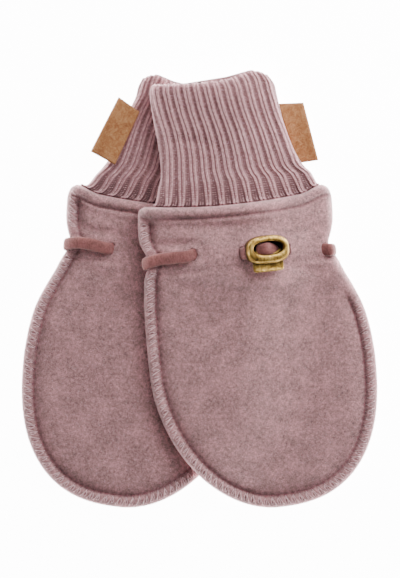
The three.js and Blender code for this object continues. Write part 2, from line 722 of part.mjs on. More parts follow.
function cordHeight(row) {
  const cloth = heightsAt(row.u, row.down);
  const half = cordThickness(row.lies) / 2;
  const heights = {
    over: cloth.top + CORD.lay + half,
    throughTop: (cloth.top + cloth.upperUnder) / 2 + CORD.topLift,
    inside: cloth.lowerTop + CORD.lay + half,
    throughUnder: (cloth.lowerTop + cloth.underside) / 2 - CORD.underDrop,
    under: CORD.lay + half,
    leftEdge: (cloth.lowerTop + cloth.upperUnder) / 2 + CORD.edgeLift,
    rightEdge: (cloth.lowerTop + cloth.upperUnder) / 2 + CORD.edgeLift,
    lock: lockFloor + LOCK.cordHeight,
    bulge: lockFloor + LOCK.cordHeight + LOCK.bulge,
  };
  return heights[row.lies];
}

function cordRings(route) {
  const points = route.map((row) => new THREE.Vector3(row.u, -rowV(row.down, row.u), cordHeight(row)));
  const curve = new THREE.CatmullRomCurve3(points, true, 'centripetal');
  const count = route.length * 2;
  const rings = [];
  for (let i = 0; i < count; i += 1) {
    const t = i / count;
    const before = route[Math.floor(i / 2)];
    const after = route[Math.ceil(i / 2) % route.length];
    const tangent = curve.getTangent(t);
    const wide = new THREE.Vector3(0, 1, 0).addScaledVector(tangent, -tangent.y).normalize();
    rings.push({
      centre: curve.getPoint(t),
      wide,
      thin: new THREE.Vector3().crossVectors(tangent, wide),
      thickness: (cordThickness(before.lies) + cordThickness(after.lies)) / 2,
    });
  }
  return rings;
}

function cord(turnedOver, base, route, growth) {
  const cloth = new Cloth(turnedOver, base);
  const halfWidth = (CORD.width / 2 + growth) * CORD_SECTION.wide;
  const rings = cordRings(route).map((ring) => {
    const halfThickness = (ring.thickness / 2 + growth) * CORD_SECTION.thin;
    const corners = [];
    for (let i = 0; i < CORD_SECTION.corners; i += 1) {
      const angle = (2 * Math.PI * (i + 0.5)) / CORD_SECTION.corners;
      const across = Math.sign(Math.cos(angle)) * Math.abs(Math.cos(angle)) ** CORD_SECTION.squareness;
      const place = ring.centre.clone()
        .addScaledVector(ring.wide, across * halfWidth)
        .addScaledVector(ring.thin, Math.sin(angle) * halfThickness);
      corners.push(cloth.point(place.x, -place.y, place.z));
    }
    return corners;
  });
  for (let i = 0; i < rings.length; i += 1) {
    const next = rings[(i + 1) % rings.length];
    for (let k = 0; k < CORD_SECTION.corners; k += 1) {
      const other = (k + 1) % CORD_SECTION.corners;
      cloth.quad(rings[i][other], next[other], next[k], rings[i][k]);
    }
  }
  return cloth.geometry();
}

// Cutting one closed shape from another

function toManifold(geometry) {
  const bare = geometry.clone();
  bare.deleteAttribute('normal');
  bare.deleteAttribute('uv');
  const merged = mergeVertices(bare, MERGE);
  return new wasm.Manifold(new wasm.Mesh({
    numProp: 3,
    vertProperties: new Float32Array(merged.attributes.position.array),
    triVerts: new Uint32Array(merged.index.array),
  }));
}

function toGeometry(solid) {
  const mesh = solid.getMesh();
  const geometry = new THREE.BufferGeometry();
  geometry.setAttribute('position', new THREE.BufferAttribute(new Float32Array(mesh.vertProperties), 3));
  geometry.setIndex(new THREE.BufferAttribute(new Uint32Array(mesh.triVerts), 1));
  return geometry;
}

function cut(geometry, ...tools) {
  let solid = toManifold(geometry);
  for (const tool of tools) solid = solid.subtract(toManifold(tool));
  return toGeometry(solid);
}

// The cord lock, drawn round its own middle and then laid on the upper mitten's front

function ovalShape(length, width, power, steps) {
  const points = [];
  for (let i = 0; i < steps; i += 1) {
    const angle = (2 * Math.PI * i) / steps;
    const x = Math.sign(Math.cos(angle)) * Math.abs(Math.cos(angle)) ** (2 / power);
    const y = Math.sign(Math.sin(angle)) * Math.abs(Math.sin(angle)) ** (2 / power);
    points.push(new THREE.Vector2((x * length) / 2, (y * width) / 2));
  }
  return new THREE.Shape(points);
}

// An oval plate with rounded edges, standing on height 0
function slab(length, width, height, { power, bevel, steps }) {
  const outline = ovalShape(length - 2 * bevel, width - 2 * bevel, power, steps);
  return new THREE.ExtrudeGeometry(outline, {
    depth: height - 2 * bevel,
    bevelThickness: bevel,
    bevelSize: bevel,
    bevelSegments: 2,
  }).translate(0, 0, bevel);
}

function lockPlace(geometry) {
  const spot = toWorld(LOCK.u, rowV(LOCK.down, LOCK.u), false);
  const rise = drape(spot.x + SLOPE_SPAN, spot.y) - drape(spot.x - SLOPE_SPAN, spot.y);
  geometry.rotateY(-Math.atan(rise / (2 * SLOPE_SPAN)));
  geometry.rotateZ(LEAN);
  geometry.translate(spot.x, spot.y, drape(spot.x, spot.y) + lockFloor);
  return geometry;
}

function lockHousing() {
  const body = slab(LOCK.length, LOCK.width, LOCK.height, LOCK);
  const windowShape = ovalShape(WINDOW.length, WINDOW.width, WINDOW.power, WINDOW.steps);
  const depth = LOCK.height + 2 * CUT_OVER;
  const window = new THREE.ExtrudeGeometry(windowShape, { depth, bevelEnabled: false });
  window.translate(0, 0, -CUT_OVER);
  const notchTop = LOCK.cordHeight + CORD.lock / 2 + LOCK.aboveCord;
  const notch = new THREE.BoxGeometry(
    LOCK.length + 2 * CUT_OVER, CORD.width + 2 * LOCK.besideCord, notchTop + CUT_OVER,
  ).translate(0, 0, (notchTop - CUT_OVER) / 2);
  const slot = new THREE.BoxGeometry(
    PLUNGER.length + 2 * PLUNGER.clearance,
    PLUNGER.inside + CUT_OVER,
    PLUNGER.height + 2 * PLUNGER.clearance,
  ).translate(
    0,
    PLUNGER.inside / 2 - PLUNGER.slotExtra - LOCK.width / 2,
    PLUNGER.above + PLUNGER.height / 2,
  );
  const shell = lockPlace(cut(body, window, notch, slot));
  return cut(shell, cord(false, drape, ROUTE.upper, CORD.clearance));
}

function lockPlunger() {
  const depth = PLUNGER.inside + PLUNGER.outside;
  const plate = slab(PLUNGER.length, depth, PLUNGER.height, PLUNGER);
  const middle = LOCK.width / 2 - PLUNGER.inside + (depth + PLUNGER.clearance) / 2;
  return lockPlace(plate.translate(0, -middle, PLUNGER.above));
}

// The pair

function piece(name, geometry, look) {
  const mesh = new THREE.Mesh(geometry, new THREE.MeshStandardMaterial(look));
  mesh.name = name;
  return mesh;
}

// The top and bottom panels swap names on the mitten that is turned over
function mitten(which, turnedOver, base) {
  const group = new THREE.Group();
  const above = turnedOver ? 'back' : 'front';
  const below = turnedOver ? 'front' : 'back';
  const hole = cord(turnedOver, base, ROUTE[which], CORD.clearance);
  const topCut = cut(topPanel(turnedOver, base, !turnedOver), hole);
  const bottomCut = cut(bottomPanel(turnedOver, base), hole);
  group.add(piece(`${which}_${above}_panel`, topCut, FLEECE_ROSE));
  group.add(piece(`${which}_${below}_panel`, bottomCut, FLEECE_ROSE));
  group.add(piece(`${which}_cuff`, cuff(turnedOver, base, CUFF[which]), RIB_ROSE));
  group.add(piece(`${which}_label`, label(turnedOver, base, LABEL_CORNERS[which]), LABEL_BROWN));
  group.add(piece(`${which}_cord`, cord(turnedOver, base, ROUTE[which], 0), CORD_CLAY));
  return group;
}

const pair = new THREE.Group();
pair.add(mitten('lower', true, flat));
pair.add(mitten('upper', false, drape));
pair.add(piece('lock_housing', lockHousing(), BRASS));
pair.add(piece('lock_plunger', lockPlunger(), BRASS));

export default pair;
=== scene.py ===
# %% [markdown]
# # A pair of baby mittens
# Two thumbless wool mittens lie flat, one over the other. Each is two fleece panels joined by an
# overlocked seam, a rib-knit cuff, a drawstring and a folded label tab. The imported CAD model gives
# the frame, and every piece here is built in metres where that frame has its rigid stand-in.

# %% Load the frame
import math

import bmesh
import bpy
import numpy as np
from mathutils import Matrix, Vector


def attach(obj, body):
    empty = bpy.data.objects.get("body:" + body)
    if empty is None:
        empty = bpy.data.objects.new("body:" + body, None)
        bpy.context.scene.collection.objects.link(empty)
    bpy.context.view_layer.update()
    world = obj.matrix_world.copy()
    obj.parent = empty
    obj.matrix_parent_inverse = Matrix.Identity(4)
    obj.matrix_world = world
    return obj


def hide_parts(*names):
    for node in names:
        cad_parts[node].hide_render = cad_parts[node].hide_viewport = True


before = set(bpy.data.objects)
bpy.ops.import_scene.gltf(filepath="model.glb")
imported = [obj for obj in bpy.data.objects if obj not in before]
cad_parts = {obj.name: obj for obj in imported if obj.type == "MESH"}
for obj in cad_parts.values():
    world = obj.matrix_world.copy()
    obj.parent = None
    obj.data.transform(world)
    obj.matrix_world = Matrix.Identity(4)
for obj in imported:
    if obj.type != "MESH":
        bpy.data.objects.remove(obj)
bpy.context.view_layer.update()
MM = 0.001
print("CAD nodes:", len(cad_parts))

# %% [markdown]
# ## Camera
# The pair is seen from straight above. A long lens keeps the high parts, such as the brass lock,
# from growing towards the camera. The picture's long side is the sensor's side, so the distance
# follows from how many millimetres that side has to cover.

# %% Camera
PICTURE = (400, 578)
PIXELS_PER_MM = 2.7
LENS = 240
SENSOR = 36
IMAGE_CENTRE = (0.19, 0.37, 6.0)  # mm, what the middle of the picture shows

camera_data = bpy.data.cameras.new("camera")
camera_data.lens = LENS
camera_data.sensor_width = SENSOR
camera_data.clip_end = 20
camera = bpy.data.objects.new("camera", camera_data)
distance = PICTURE[1] / PIXELS_PER_MM * LENS / SENSOR
camera.location = np.array(IMAGE_CENTRE) * MM + np.array((0, 0, distance * MM))
bpy.context.scene.collection.objects.link(camera)
bpy.context.scene.camera = camera
print("camera distance, m:", round(distance * MM, 3))

# %% [markdown]
# ## Curves from short tables
# A maker's pattern is a few measured points with a fair curve through them. This helper reads such
# a table of (place, value) rows as a smooth curve, for a whole array of places at once.

# %% Curve helpers
def mix(a, b, share):
    return a + (b - a) * share


def smooth(start, end, value):
    """0 before start, 1 after end and eased between them. start may be the larger one."""
    t = np.clip((value - start) / (end - start), 0, 1)
    return t * t * (3 - 2 * t)


def hump(value, middle, width):
    """1 at the middle, and falling off softly on both sides over about the width."""
    return np.exp(-(((value - middle) / width) ** 2))


def quarter_round(share):
    """The rise of a quarter circle, from 0 at its edge to 1."""
    left = 1 - np.clip(share, 0, 1)
    return np.sqrt(1 - left ** 2)


def read(rows, places, column=1):
    """The smooth curve through a table's rows: column over the first one, at these places."""
    at = np.array([row[0] for row in rows], float)
    values = np.array([row[column] for row in rows], float)
    slopes = np.gradient(values, at)
    x = np.clip(places, at[0], at[-1])
    i = np.clip(np.searchsorted(at, x, side="right") - 1, 0, len(at) - 2)
    span = at[i + 1] - at[i]
    t = (x - at[i]) / span
    eased = mix(values[i], values[i + 1], t * t * (3 - 2 * t))
    return eased + slopes[i] * span * t * (1 - t) ** 2 - slopes[i + 1] * span * t * t * (1 - t)


# %% [markdown]
# ## The cut of a panel
# Each mitten has its own frame in millimetres: u runs across it and v from the wrist to the tip.
# The side is a measured curve with a waist where the drawstring pulls it in, and the tip is two
# superellipse quarters. Rays start on this outline and run in to the middle line, so that a place
# on the cloth is a ray and a distance in from the edge, which is how a seam is sewn.

# %% Outline
SIDE = (
    (0, -34.3, 31.9), (1, -36.1, 33.4), (2.5, -36.9, 34.4), (4.35, -37.2, 34.9), (8, -37.6, 35),
    (12.5, -37.4, 34.3), (14.5, -36, 33.3), (17, -34.9, 32), (19.5, -36, 33.3), (22, -37.1, 34.7),
    (27, -37.9, 36.8), (33, -38.6, 39.6), (40, -38.9, 42.3), (49, -39.1, 44.1), (58, -39.15, 44.85),
)
TIP = {"u": 2.85, "v": 58, "half_width": 42, "length": 53.7, "left_power": 1.88, "right_power": 2.5}


def sag(u):
    """The wrist edge dips towards the tip in its middle."""
    return -1.7 - 2.3 * (u / 32) ** 2 - 1.8 * smooth(23, 32, u)


def row_v(down, u):
    return down + sag(u) * (1 - smooth(6, 21, down))


def left_at(down):
    return read(SIDE, down, 1)


def right_at(down):
    return read(SIDE, down, 2)


def tip_point(angle):
    power = np.where(angle < math.pi / 2, TIP["left_power"], TIP["right_power"])
    across = np.abs(np.cos(angle)) ** (2 / power) * np.sign(np.cos(angle))
    along = np.abs(np.sin(angle)) ** (2 / power)
    return np.stack([TIP["u"] - TIP["half_width"] * across, TIP["v"] + TIP["length"] * along], -1)


SIDE_DOWNS = np.concatenate([np.arange(0, 26, 0.5), np.linspace(26, TIP["v"], 44)])
TIP_RAYS = 190
TIP_START = 0.012  # radians kept clear at each end of the tip, where the side's last ray is


def side_rays(side):
    down = SIDE_DOWNS
    u = left_at(down) if side < 0 else right_at(down)
    middle = mix((left_at(down) + right_at(down)) / 2, TIP["u"], smooth(30, TIP["v"], down))
    return {
        "down": down,
        "side": np.full_like(down, side),
        "edge": np.stack([u, row_v(down, u)], -1),
        "normal": np.stack([np.full_like(down, -side), np.zeros_like(down)], -1),
        "middle": np.stack([middle, row_v(down, middle)], -1),
    }


def tip_rays():
    even = np.linspace(TIP_START, math.pi - TIP_START, 2000)
    points = tip_point(even)
    length = np.concatenate([[0], np.cumsum(np.linalg.norm(np.diff(points, axis=0), axis=1))])
    angle = np.interp(np.linspace(0, length[-1], TIP_RAYS + 2)[1:-1], length, even)
    edge = tip_point(angle)
    tangent = tip_point(angle + 0.02) - tip_point(angle - 0.02)
    tangent /= np.linalg.norm(tangent, axis=1)[:, None]
    return {
        "down": edge[:, 1],
        "side": np.where(angle < math.pi / 2, -1.0, 1.0),
        "edge": edge,
        "normal": np.stack([tangent[:, 1], -tangent[:, 0]], -1),
        "middle": np.zeros_like(edge) + np.array([TIP["u"], TIP["v"]]),
    }


def outline_rays():
    left, tip, right = side_rays(-1), tip_rays(), side_rays(1)
    return {key: np.concatenate([left[key], tip[key], right[key][::-1]]) for key in left}


RAYS = outline_rays()
steps = np.linalg.norm(np.diff(RAYS["edge"], axis=0), axis=1)
EDGE_LENGTH = np.concatenate([[0], np.cumsum(steps)])
print("rays:", len(EDGE_LENGTH), "outline, mm:", round(EDGE_LENGTH[-1], 1))


def rays_at(lengths):
    """Rays at any distance along the outline, measured from the left end of the wrist edge."""
    found = {}
    for key, values in RAYS.items():
        columns = values.reshape(len(EDGE_LENGTH), -1).T
        new = np.stack([np.interp(lengths, EDGE_LENGTH, column) for column in columns], -1)
        found[key] = new.reshape((len(lengths),) + values.shape[1:])
    return found


EVEN_TO = 27  # mm in from the edge: from there on, each ray's rest is shared out evenly
LAST_INSET = 52


def on_ray(rays, insets):
    """Places (u, v) on each ray at each distance in from the edge, and how far down they are."""
    edge = rays["edge"][:, None, :]
    to_middle = (rays["middle"] - rays["edge"])[:, None, :]
    reach = np.linalg.norm(to_middle, axis=2, keepdims=True)
    inset = insets[None, :, None]
    share = (inset - EVEN_TO) / (LAST_INSET - EVEN_TO)
    inset = np.where(inset > EVEN_TO, EVEN_TO + share * (reach - EVEN_TO), inset)
    along = edge + rays["normal"][:, None, :] * inset
    straight = edge + to_middle * inset / reach
    place = mix(along, straight, smooth(4, 18, inset))
    down = np.broadcast_to(rays["down"][:, None], place.shape[:2]).copy()
    upper = (rays["down"] < TIP["v"])[:, None] & np.ones_like(down, bool)
    place[..., 1] = np.where(upper, row_v(down, place[..., 0]), place[..., 1])
    down = np.where(upper, down, place[..., 1])
    return place, down


# %% [markdown]
# ## How the cloth swells
# Between its edges a mitten isn't flat: the turned-in wrist band is thick, the drawstring inside
# lifts the cloth, and the overlock squeezes the edge into a roll with a groove where the needle
# goes. Height tables give this form from the outline inwards, the same ones as in the solids but
# read more finely, so the edge is round here.

# %% Heights of the cloth
FLEECE = 2.3
FLEECE_UNDER = 1.9
FLEECE_PINCHED = 1.5  # where the drawstring pulls the cloth in
WAIST_RISE = 2.1
SEAM_GAP = 0.3
HOLLOW = ((0, 3.4), (4, 3.4), (6.5, 2.6), (10, 2.4), (25, 2.4), (34, 1.4), (50, 1), (112, 0.8))
ROLL_EDGE = (
    (0, 0.02), (0.15, 0.24), (0.4, 0.42), (0.8, 0.56), (1.4, 0.65), (2.1, 0.69), (2.9, 0.66), (3.5, 0.56),
    (4, 0.38), (4.4, 0.27), (4.9, 0.36), (5.6, 0.54), (6.6, 0.69), (8, 0.82), (12, 0.95), (18, 1), (27, 1),
)
FOLD_EDGE = ((0, 0.02), (0.2, 0.3), (0.8, 0.62), (1.4, 0.77), (2.1, 0.87), (3.5, 0.95), (5.6, 0.99), (8, 1))
STITCH_ROW = 4.35
STITCH_DEPTH = 1.35
BAND_EDGE = 2  # the wrist edge is rounded over this height
UNDER_EDGE = 1.6
CORD_ROW = 17
LIFT = {"under": 2.9, "seam": 2.3}


def cord_pinch(down, u):
    beside = 1 - smooth(2.7, 6.4, np.abs(down - CORD_ROW))
    left_run = 1 - smooth(-17, -12, u)
    lift, dent = [beside * np.maximum(left_run, right) for right in (smooth(11, 15, u), smooth(18, 27, u))]
    return lift, dent


def cloth_heights(down, u, inset, fold):
    """The cloth's four surfaces: underside, lower_top, upper_under and top."""
    lift, dent = cord_pinch(down, u)
    seam = FLEECE_UNDER + SEAM_GAP / 2 + LIFT["seam"] * lift
    wall = mix(FLEECE, FLEECE_PINCHED, dent)
    hollow = read(HOLLOW, down)
    full = mix(FLEECE_UNDER + hollow + FLEECE, seam + WAIST_RISE, np.maximum(lift * 0.6, dent))
    band = 1 - smooth(STITCH_ROW - 0.6, STITCH_ROW + 3, down)
    plain = np.maximum(band, fold)
    share = mix(read(ROLL_EDGE, inset), read(FOLD_EDGE, inset), plain)
    opening = mix(smooth(4.4, 18, inset), smooth(0.2, 2.1, inset), band)
    stitch = STITCH_DEPTH * hump(down, STITCH_ROW, 0.85) * np.minimum(1, inset / 2)
    edge_round = 1 - quarter_round(down / BAND_EDGE)
    floor = seam + SEAM_GAP / 2
    under_round = 1 - quarter_round(inset / UNDER_EDGE)
    return {
        "underside": LIFT["under"] * lift + under_round * (1.5 - 0.9 * lift),
        "lower_top": seam - SEAM_GAP / 2,
        "upper_under": np.maximum(floor, mix(floor, full - wall, opening)),
        "top": seam + share * (full - seam) - stitch - 1.9 * edge_round * np.minimum(1, inset / 2),
    }


# %% [markdown]
# ## Where each mitten lies
# Each mitten leans by a few degrees, and the lower one is turned over, which mirrors it. The upper
# one is draped: its base follows the lower mitten's top and falls softly to the table beside it.
# The drape is worked out from the distance to the lower mitten's outline, so both always agree.

# %% Placing and draping
WRIST = (14.3, 30.0)
LEAN = math.radians(6.2)
DRAPE = {"inside": 6, "outside": 27, "gap": 0.7, "cuff_top": 6.6, "cord_top": 9}
CUFF = {
    "upper": (
        (0, -31.6, -4.2, 31, -5.6), (0.1, -29.6, -8.4, 29.4, -9.6), (0.22, -27.4, -13.8, 26.2, -13.2),
        (0.38, -26.8, -21.2, 23.5, -18.6), (0.55, -27.1, -28.6, 21.4, -25.5), (0.72, -27.7, -36.2, 19.8, -33),
        (0.88, -28, -43.7, 18.8, -41), (0.95, -27.8, -46.6, 18.2, -44.8), (1, -26.7, -48.6, 16.2, -47.9),
    ),
    "lower": (
        (0, -31.4, -4.2, 30.6, -4.6), (0.1, -29.2, -8, 27.2, -8.2), (0.22, -27.3, -13.2, 23.1, -13.2),
        (0.38, -26.8, -20, 19.8, -20), (0.55, -26.9, -27.2, 17.8, -27.2), (0.72, -27, -34.2, 15.9, -34.6),
        (0.88, -26.8, -41, 13.7, -41.2), (0.95, -26.4, -43.6, 13.2, -44.5), (1, -25.2, -45.4, 12, -47.2),
    ),
}


def to_world(u, v, turned):
    x = WRIST[0] + u * math.cos(LEAN) + v * math.sin(LEAN)
    y = WRIST[1] + u * math.sin(LEAN) - v * math.cos(LEAN)
    return (-x if turned else x), y


def from_world(x, y, turned):
    across = (-x if turned else x) - WRIST[0]
    up = y - WRIST[1]
    return (
        across * math.cos(LEAN) + up * math.sin(LEAN),
        across * math.sin(LEAN) - up * math.cos(LEAN),
    )


def lower_outline():
    rows = CUFF["lower"]
    parts = [RAYS["edge"][::4]]
    parts.append(np.array([(row[3], row[4]) for row in rows]))
    parts.append(np.array([(row[1], row[2]) for row in rows])[::-1])
    u, v = np.concatenate(parts).T
    return np.stack(to_world(u, v, True), -1)


LOWER_OUTLINE = lower_outline()


def distance_to_lower(x, y):
    """Signed distance to the lower mitten's outline, below zero inside it."""
    point = np.stack([x.ravel(), y.ravel()], -1)
    nearest = np.full(len(point), np.inf)
    inside = np.zeros(len(point), bool)
    for a, b in zip(LOWER_OUTLINE, np.roll(LOWER_OUTLINE, -1, axis=0)):
        edge = b - a
        if not edge.any():
            continue
        t = np.clip(((point - a) @ edge) / (edge @ edge), 0, 1)
        nearest = np.minimum(nearest, np.linalg.norm(point - a - t[:, None] * edge, axis=1))
        if a[1] != b[1]:
            crosses = (a[1] > point[:, 1]) != (b[1] > point[:, 1])
            inside ^= crosses & (point[:, 0] < a[0] + edge[0] * (point[:, 1] - a[1]) / edge[1])
    return np.where(inside, -nearest, nearest).reshape(x.shape)


def drape(x, y):
    u, v = from_world(x, y, True)
    down = v - sag(u) * (1 - smooth(0, 20, v))
    cloth = FLEECE_UNDER + read(HOLLOW, np.maximum(0, down)) + FLEECE
    cord_run = (1 - smooth(4, 11, np.abs(down - CORD_ROW))) * (1 - smooth(-18, -8, u))
    body = mix(cloth, DRAPE["cord_top"], cord_run)
    top = mix(DRAPE["cuff_top"], body, smooth(-4.5, -0.5, down)) + DRAPE["gap"]
    return top * (1 - smooth(-DRAPE["inside"], DRAPE["outside"], distance_to_lower(x, y)))


class Mitten:
    """One of the pair: its name, whether it is turned over, and what its base lies on."""

    def __init__(self, name, turned, draped):
        self.name = name
        self.turned = turned
        self.draped = draped

    def place(self, u, v, height):
        x, y = to_world(np.asarray(u, float), np.asarray(v, float), self.turned)
        base = drape(x, y) if self.draped else 0
        return np.stack([x, y, base + height], -1) * MM

    def fold(self, rays):
        """How far the front's edge is folded over the seam, on the upper mitten's right."""
        folded = (1 - smooth(33, 42, rays["down"])) * (rays["side"] > 0)
        return folded if not self.turned else np.zeros_like(folded)


LOWER = Mitten("lower", True, False)
UPPER = Mitten("upper", False, True)
PAIR = (LOWER, UPPER)

# %% [markdown]
# ## Making a mesh from arrays
# Many small things, such as stitches, are one mesh from arrays: it is quick, and it keeps the
# number of objects low. Faces are given as arrays of corner numbers, and a value for each corner
# can be stored as an attribute, which a material then reads.

# %% Mesh helpers
def make_mesh(name, points, faces, material, values=None, sharp=False):
    mesh = bpy.data.meshes.new(name)
    mesh.from_pydata(points.reshape(-1, 3).tolist(), [], [list(face) for face in faces])
    mesh.validate()
    mesh.materials.append(material)
    mesh.polygons.foreach_set("use_smooth", [not sharp] * len(mesh.polygons))
    for label, numbers in (values or {}).items():
        layer = mesh.attributes.new(label, "FLOAT", "POINT")
        layer.data.foreach_set("value", np.asarray(numbers, np.float32).ravel())
    mesh.update()
    piece = bpy.data.objects.new(name, mesh)
    bpy.context.scene.collection.objects.link(piece)
    return piece


def grid_faces(rows, columns, wrap_rows=False, wrap_columns=False, first=0):
    """Corner numbers of the quads of a grid whose points run along its columns."""
    i = np.arange(rows if wrap_rows else rows - 1)
    j = np.arange(columns if wrap_columns else columns - 1)
    i, j = [part.ravel() for part in np.meshgrid(i, j, indexing="ij")]
    k = (i + 1) % rows
    m = (j + 1) % columns
    return first + np.stack([i * columns + j, k * columns + j, k * columns + m, i * columns + m], -1)


def tubes(paths, radius, sides=6, flatten=1.0):
    """Points and faces of round tubes along equal paths: an array of (tube, step, xyz)."""
    tangent = np.gradient(paths, axis=1)
    tangent /= np.linalg.norm(tangent, axis=2, keepdims=True) + 1e-12
    up = np.array([0.0, 0.0, 1.0])
    across = np.cross(tangent, up)
    across /= np.linalg.norm(across, axis=2, keepdims=True) + 1e-9
    lift = np.cross(across, tangent)
    count, length = paths.shape[:2]
    taper = np.sin(np.linspace(0.12, math.pi - 0.12, length)) ** 0.35
    angle = np.linspace(0, 2 * math.pi, sides, endpoint=False)
    ring = (
        across[:, :, None, :] * np.cos(angle)[None, None, :, None]
        + lift[:, :, None, :] * np.sin(angle)[None, None, :, None] * flatten
    )
    points = paths[:, :, None, :] + ring * radius * taper[None, :, None, None]
    one = grid_faces(length, sides, wrap_columns=True)
    block = length * sides
    faces = (one[None] + (np.arange(count) * block)[:, None, None]).reshape(-1, 4)
    caps = []
    for end, order in ((0, 1), (length - 1, -1)):
        cap = (np.arange(sides) + end * sides)[::order]
        caps += [list(cap + k * block) for k in range(count)]
    return points.reshape(-1, 3), faces.tolist() + caps


# %% [markdown]
# ## Shader maths as expressions
# A material here is a small program. One class wraps a socket, so that `1 - mask` or `a * 0.5 + b`
# adds the Math nodes by itself, and one method adds any other node from its settings and inputs.

# %% Material helpers
class Value:
    """A number that varies over a surface: the output socket of some node."""

    def __init__(self, paint, socket):
        self.paint = paint
        self.socket = socket

    def math(self, operation, first, second):
        return self.paint.node("ShaderNodeMath", {"operation": operation}, {0: first, 1: second})

    def __add__(self, other):
        return self.math("ADD", self, other)

    def __sub__(self, other):
        return self.math("SUBTRACT", self, other)

    def __mul__(self, other):
        return self.math("MULTIPLY", self, other)

    def __rsub__(self, other):
        return self.math("SUBTRACT", other, self)

    def __pow__(self, other):
        return self.math("POWER", self, other)

    __radd__ = __add__
    __rmul__ = __mul__


class Paint:
    """A material under construction, with its Principled shader."""

    def __init__(self, name, **settings):
        self.material = bpy.data.materials.new(name)
        self.material.use_nodes = True
        self.tree = self.material.node_tree
        self.shader = self.tree.nodes["Principled BSDF"]
        for socket, value in settings.items():
            self.shader.inputs[socket.replace("_", " ")].default_value = value

    def node(self, kind, settings=None, sockets=None, out=0):
        node = self.tree.nodes.new(kind)
        for key, value in (settings or {}).items():
            if key == "stops":
                while len(node.color_ramp.elements) < len(value):
                    node.color_ramp.elements.new(0.5)
                for element, (place, color) in zip(node.color_ramp.elements, value):
                    element.position = place
                    element.color = color
            else:
                setattr(node, key, value)
        for key, value in (sockets or {}).items():
            self.feed(node.inputs[key], value)
        return Value(self, node.outputs[out])

    def feed(self, socket, value):
        if isinstance(value, Value):
            self.tree.links.new(value.socket, socket)
        else:
            socket.default_value = value

    def noise(self, scale, detail=3.0, roughness=0.55, distortion=0.0, stretch=None):
        """Noise whose lumps are about 1/scale mm apart, in the object's own millimetres."""
        place = self.node("ShaderNodeTexCoord", out="Object")
        size = stretch or (1, 1, 1)
        place = self.node(
            "ShaderNodeMapping", {}, {"Vector": place, "Scale": [scale * part / MM for part in size]}
        )
        return self.node(
            "ShaderNodeTexNoise", {},
            {
                "Vector": place, "Scale": 1.0, "Detail": detail, "Roughness": roughness,
                "Distortion": distortion,
            },
        )

    def ramp(self, factor, stops):
        return self.node("ShaderNodeValToRGB", {"stops": stops}, {0: factor})

    def blend(self, factor, first, second):
        return self.node(
            "ShaderNodeMix", {"data_type": "RGBA"}, {0: factor, 6: first, 7: second}, out=2
        )

    def attribute(self, name):
        return self.node("ShaderNodeAttribute", {"attribute_name": name}, out="Fac")

    def bump(self, height, distance, strength=1.0):
        relief = self.node(
            "ShaderNodeBump", {}, {"Height": height, "Distance": distance * MM, "Strength": strength}
        )
        self.feed(self.shader.inputs["Normal"], relief)


def srgb(red, green, blue):
    """A colour as read by eye on a screen, from 0 to 255, as the linear one that Blender wants."""
    parts = [part / 255 for part in (red, green, blue)]
    linear = [part / 12.92 if part <= 0.04045 else ((part + 0.055) / 1.055) ** 2.4 for part in parts]
    return (*linear, 1.0)


# %% [markdown]
# ## Wool fleece
# The panels are a brushed, lightly felted wool. Its colour is a melange: pale, middle and brownish
# fibres that clump into soft flecks about a millimetre across, over slow clouds. Two noises of
# different size give both. The groove beside the overlock is painted darker and redder: partly the
# needle thread's own colour, and partly painted shade in the groove. An attribute on the mesh says
# where. It also carries painted shade where the stitches squeeze the roll and along the hem's row,
# and an even darkening of the whole turned mitten.

# %% Fleece material
def fleece_material():
    paint = Paint("fleece", Roughness=0.95, Sheen_Weight=0.25, Sheen_Roughness=0.6)
    clouds = paint.noise(0.16, detail=2)
    flecks = paint.noise(0.85, detail=5, roughness=0.75)
    grain = paint.noise(2.6, detail=3, roughness=0.8)
    melange = flecks * 0.46 + grain * 0.37 + clouds * 0.17
    wool = paint.ramp(melange, [
        (0.37, srgb(90, 67, 67)), (0.44, srgb(138, 103, 103)), (0.5, srgb(169, 122, 124)),
        (0.56, srgb(199, 141, 144)), (0.63, srgb(231, 165, 169)),
    ])
    groove = paint.attribute("groove")
    # Thread colour and painted shade: the groove attribute blends the wool towards a dark red
    color = paint.blend(groove, wool, srgb(92, 48, 54))
    paint.feed(paint.shader.inputs["Base Color"], color)
    paint.bump(flecks * 0.5 + grain * 0.5, 0.45)
    return paint.material


FLEECE_MATERIAL = fleece_material()


def fibre_material():
    paint = Paint("fleece_nap", Roughness=0.9, Sheen_Weight=0.3)
    tint = paint.attribute("tint")
    color = paint.ramp(tint, [
        (0.0, srgb(124, 78, 80)), (0.35, srgb(168, 120, 124)), (0.7, srgb(194, 146, 152)),
        (1.0, srgb(226, 186, 192)),
    ])
    paint.feed(paint.shader.inputs["Base Color"], color)
    return paint.material


FIBRE_MATERIAL = fibre_material()
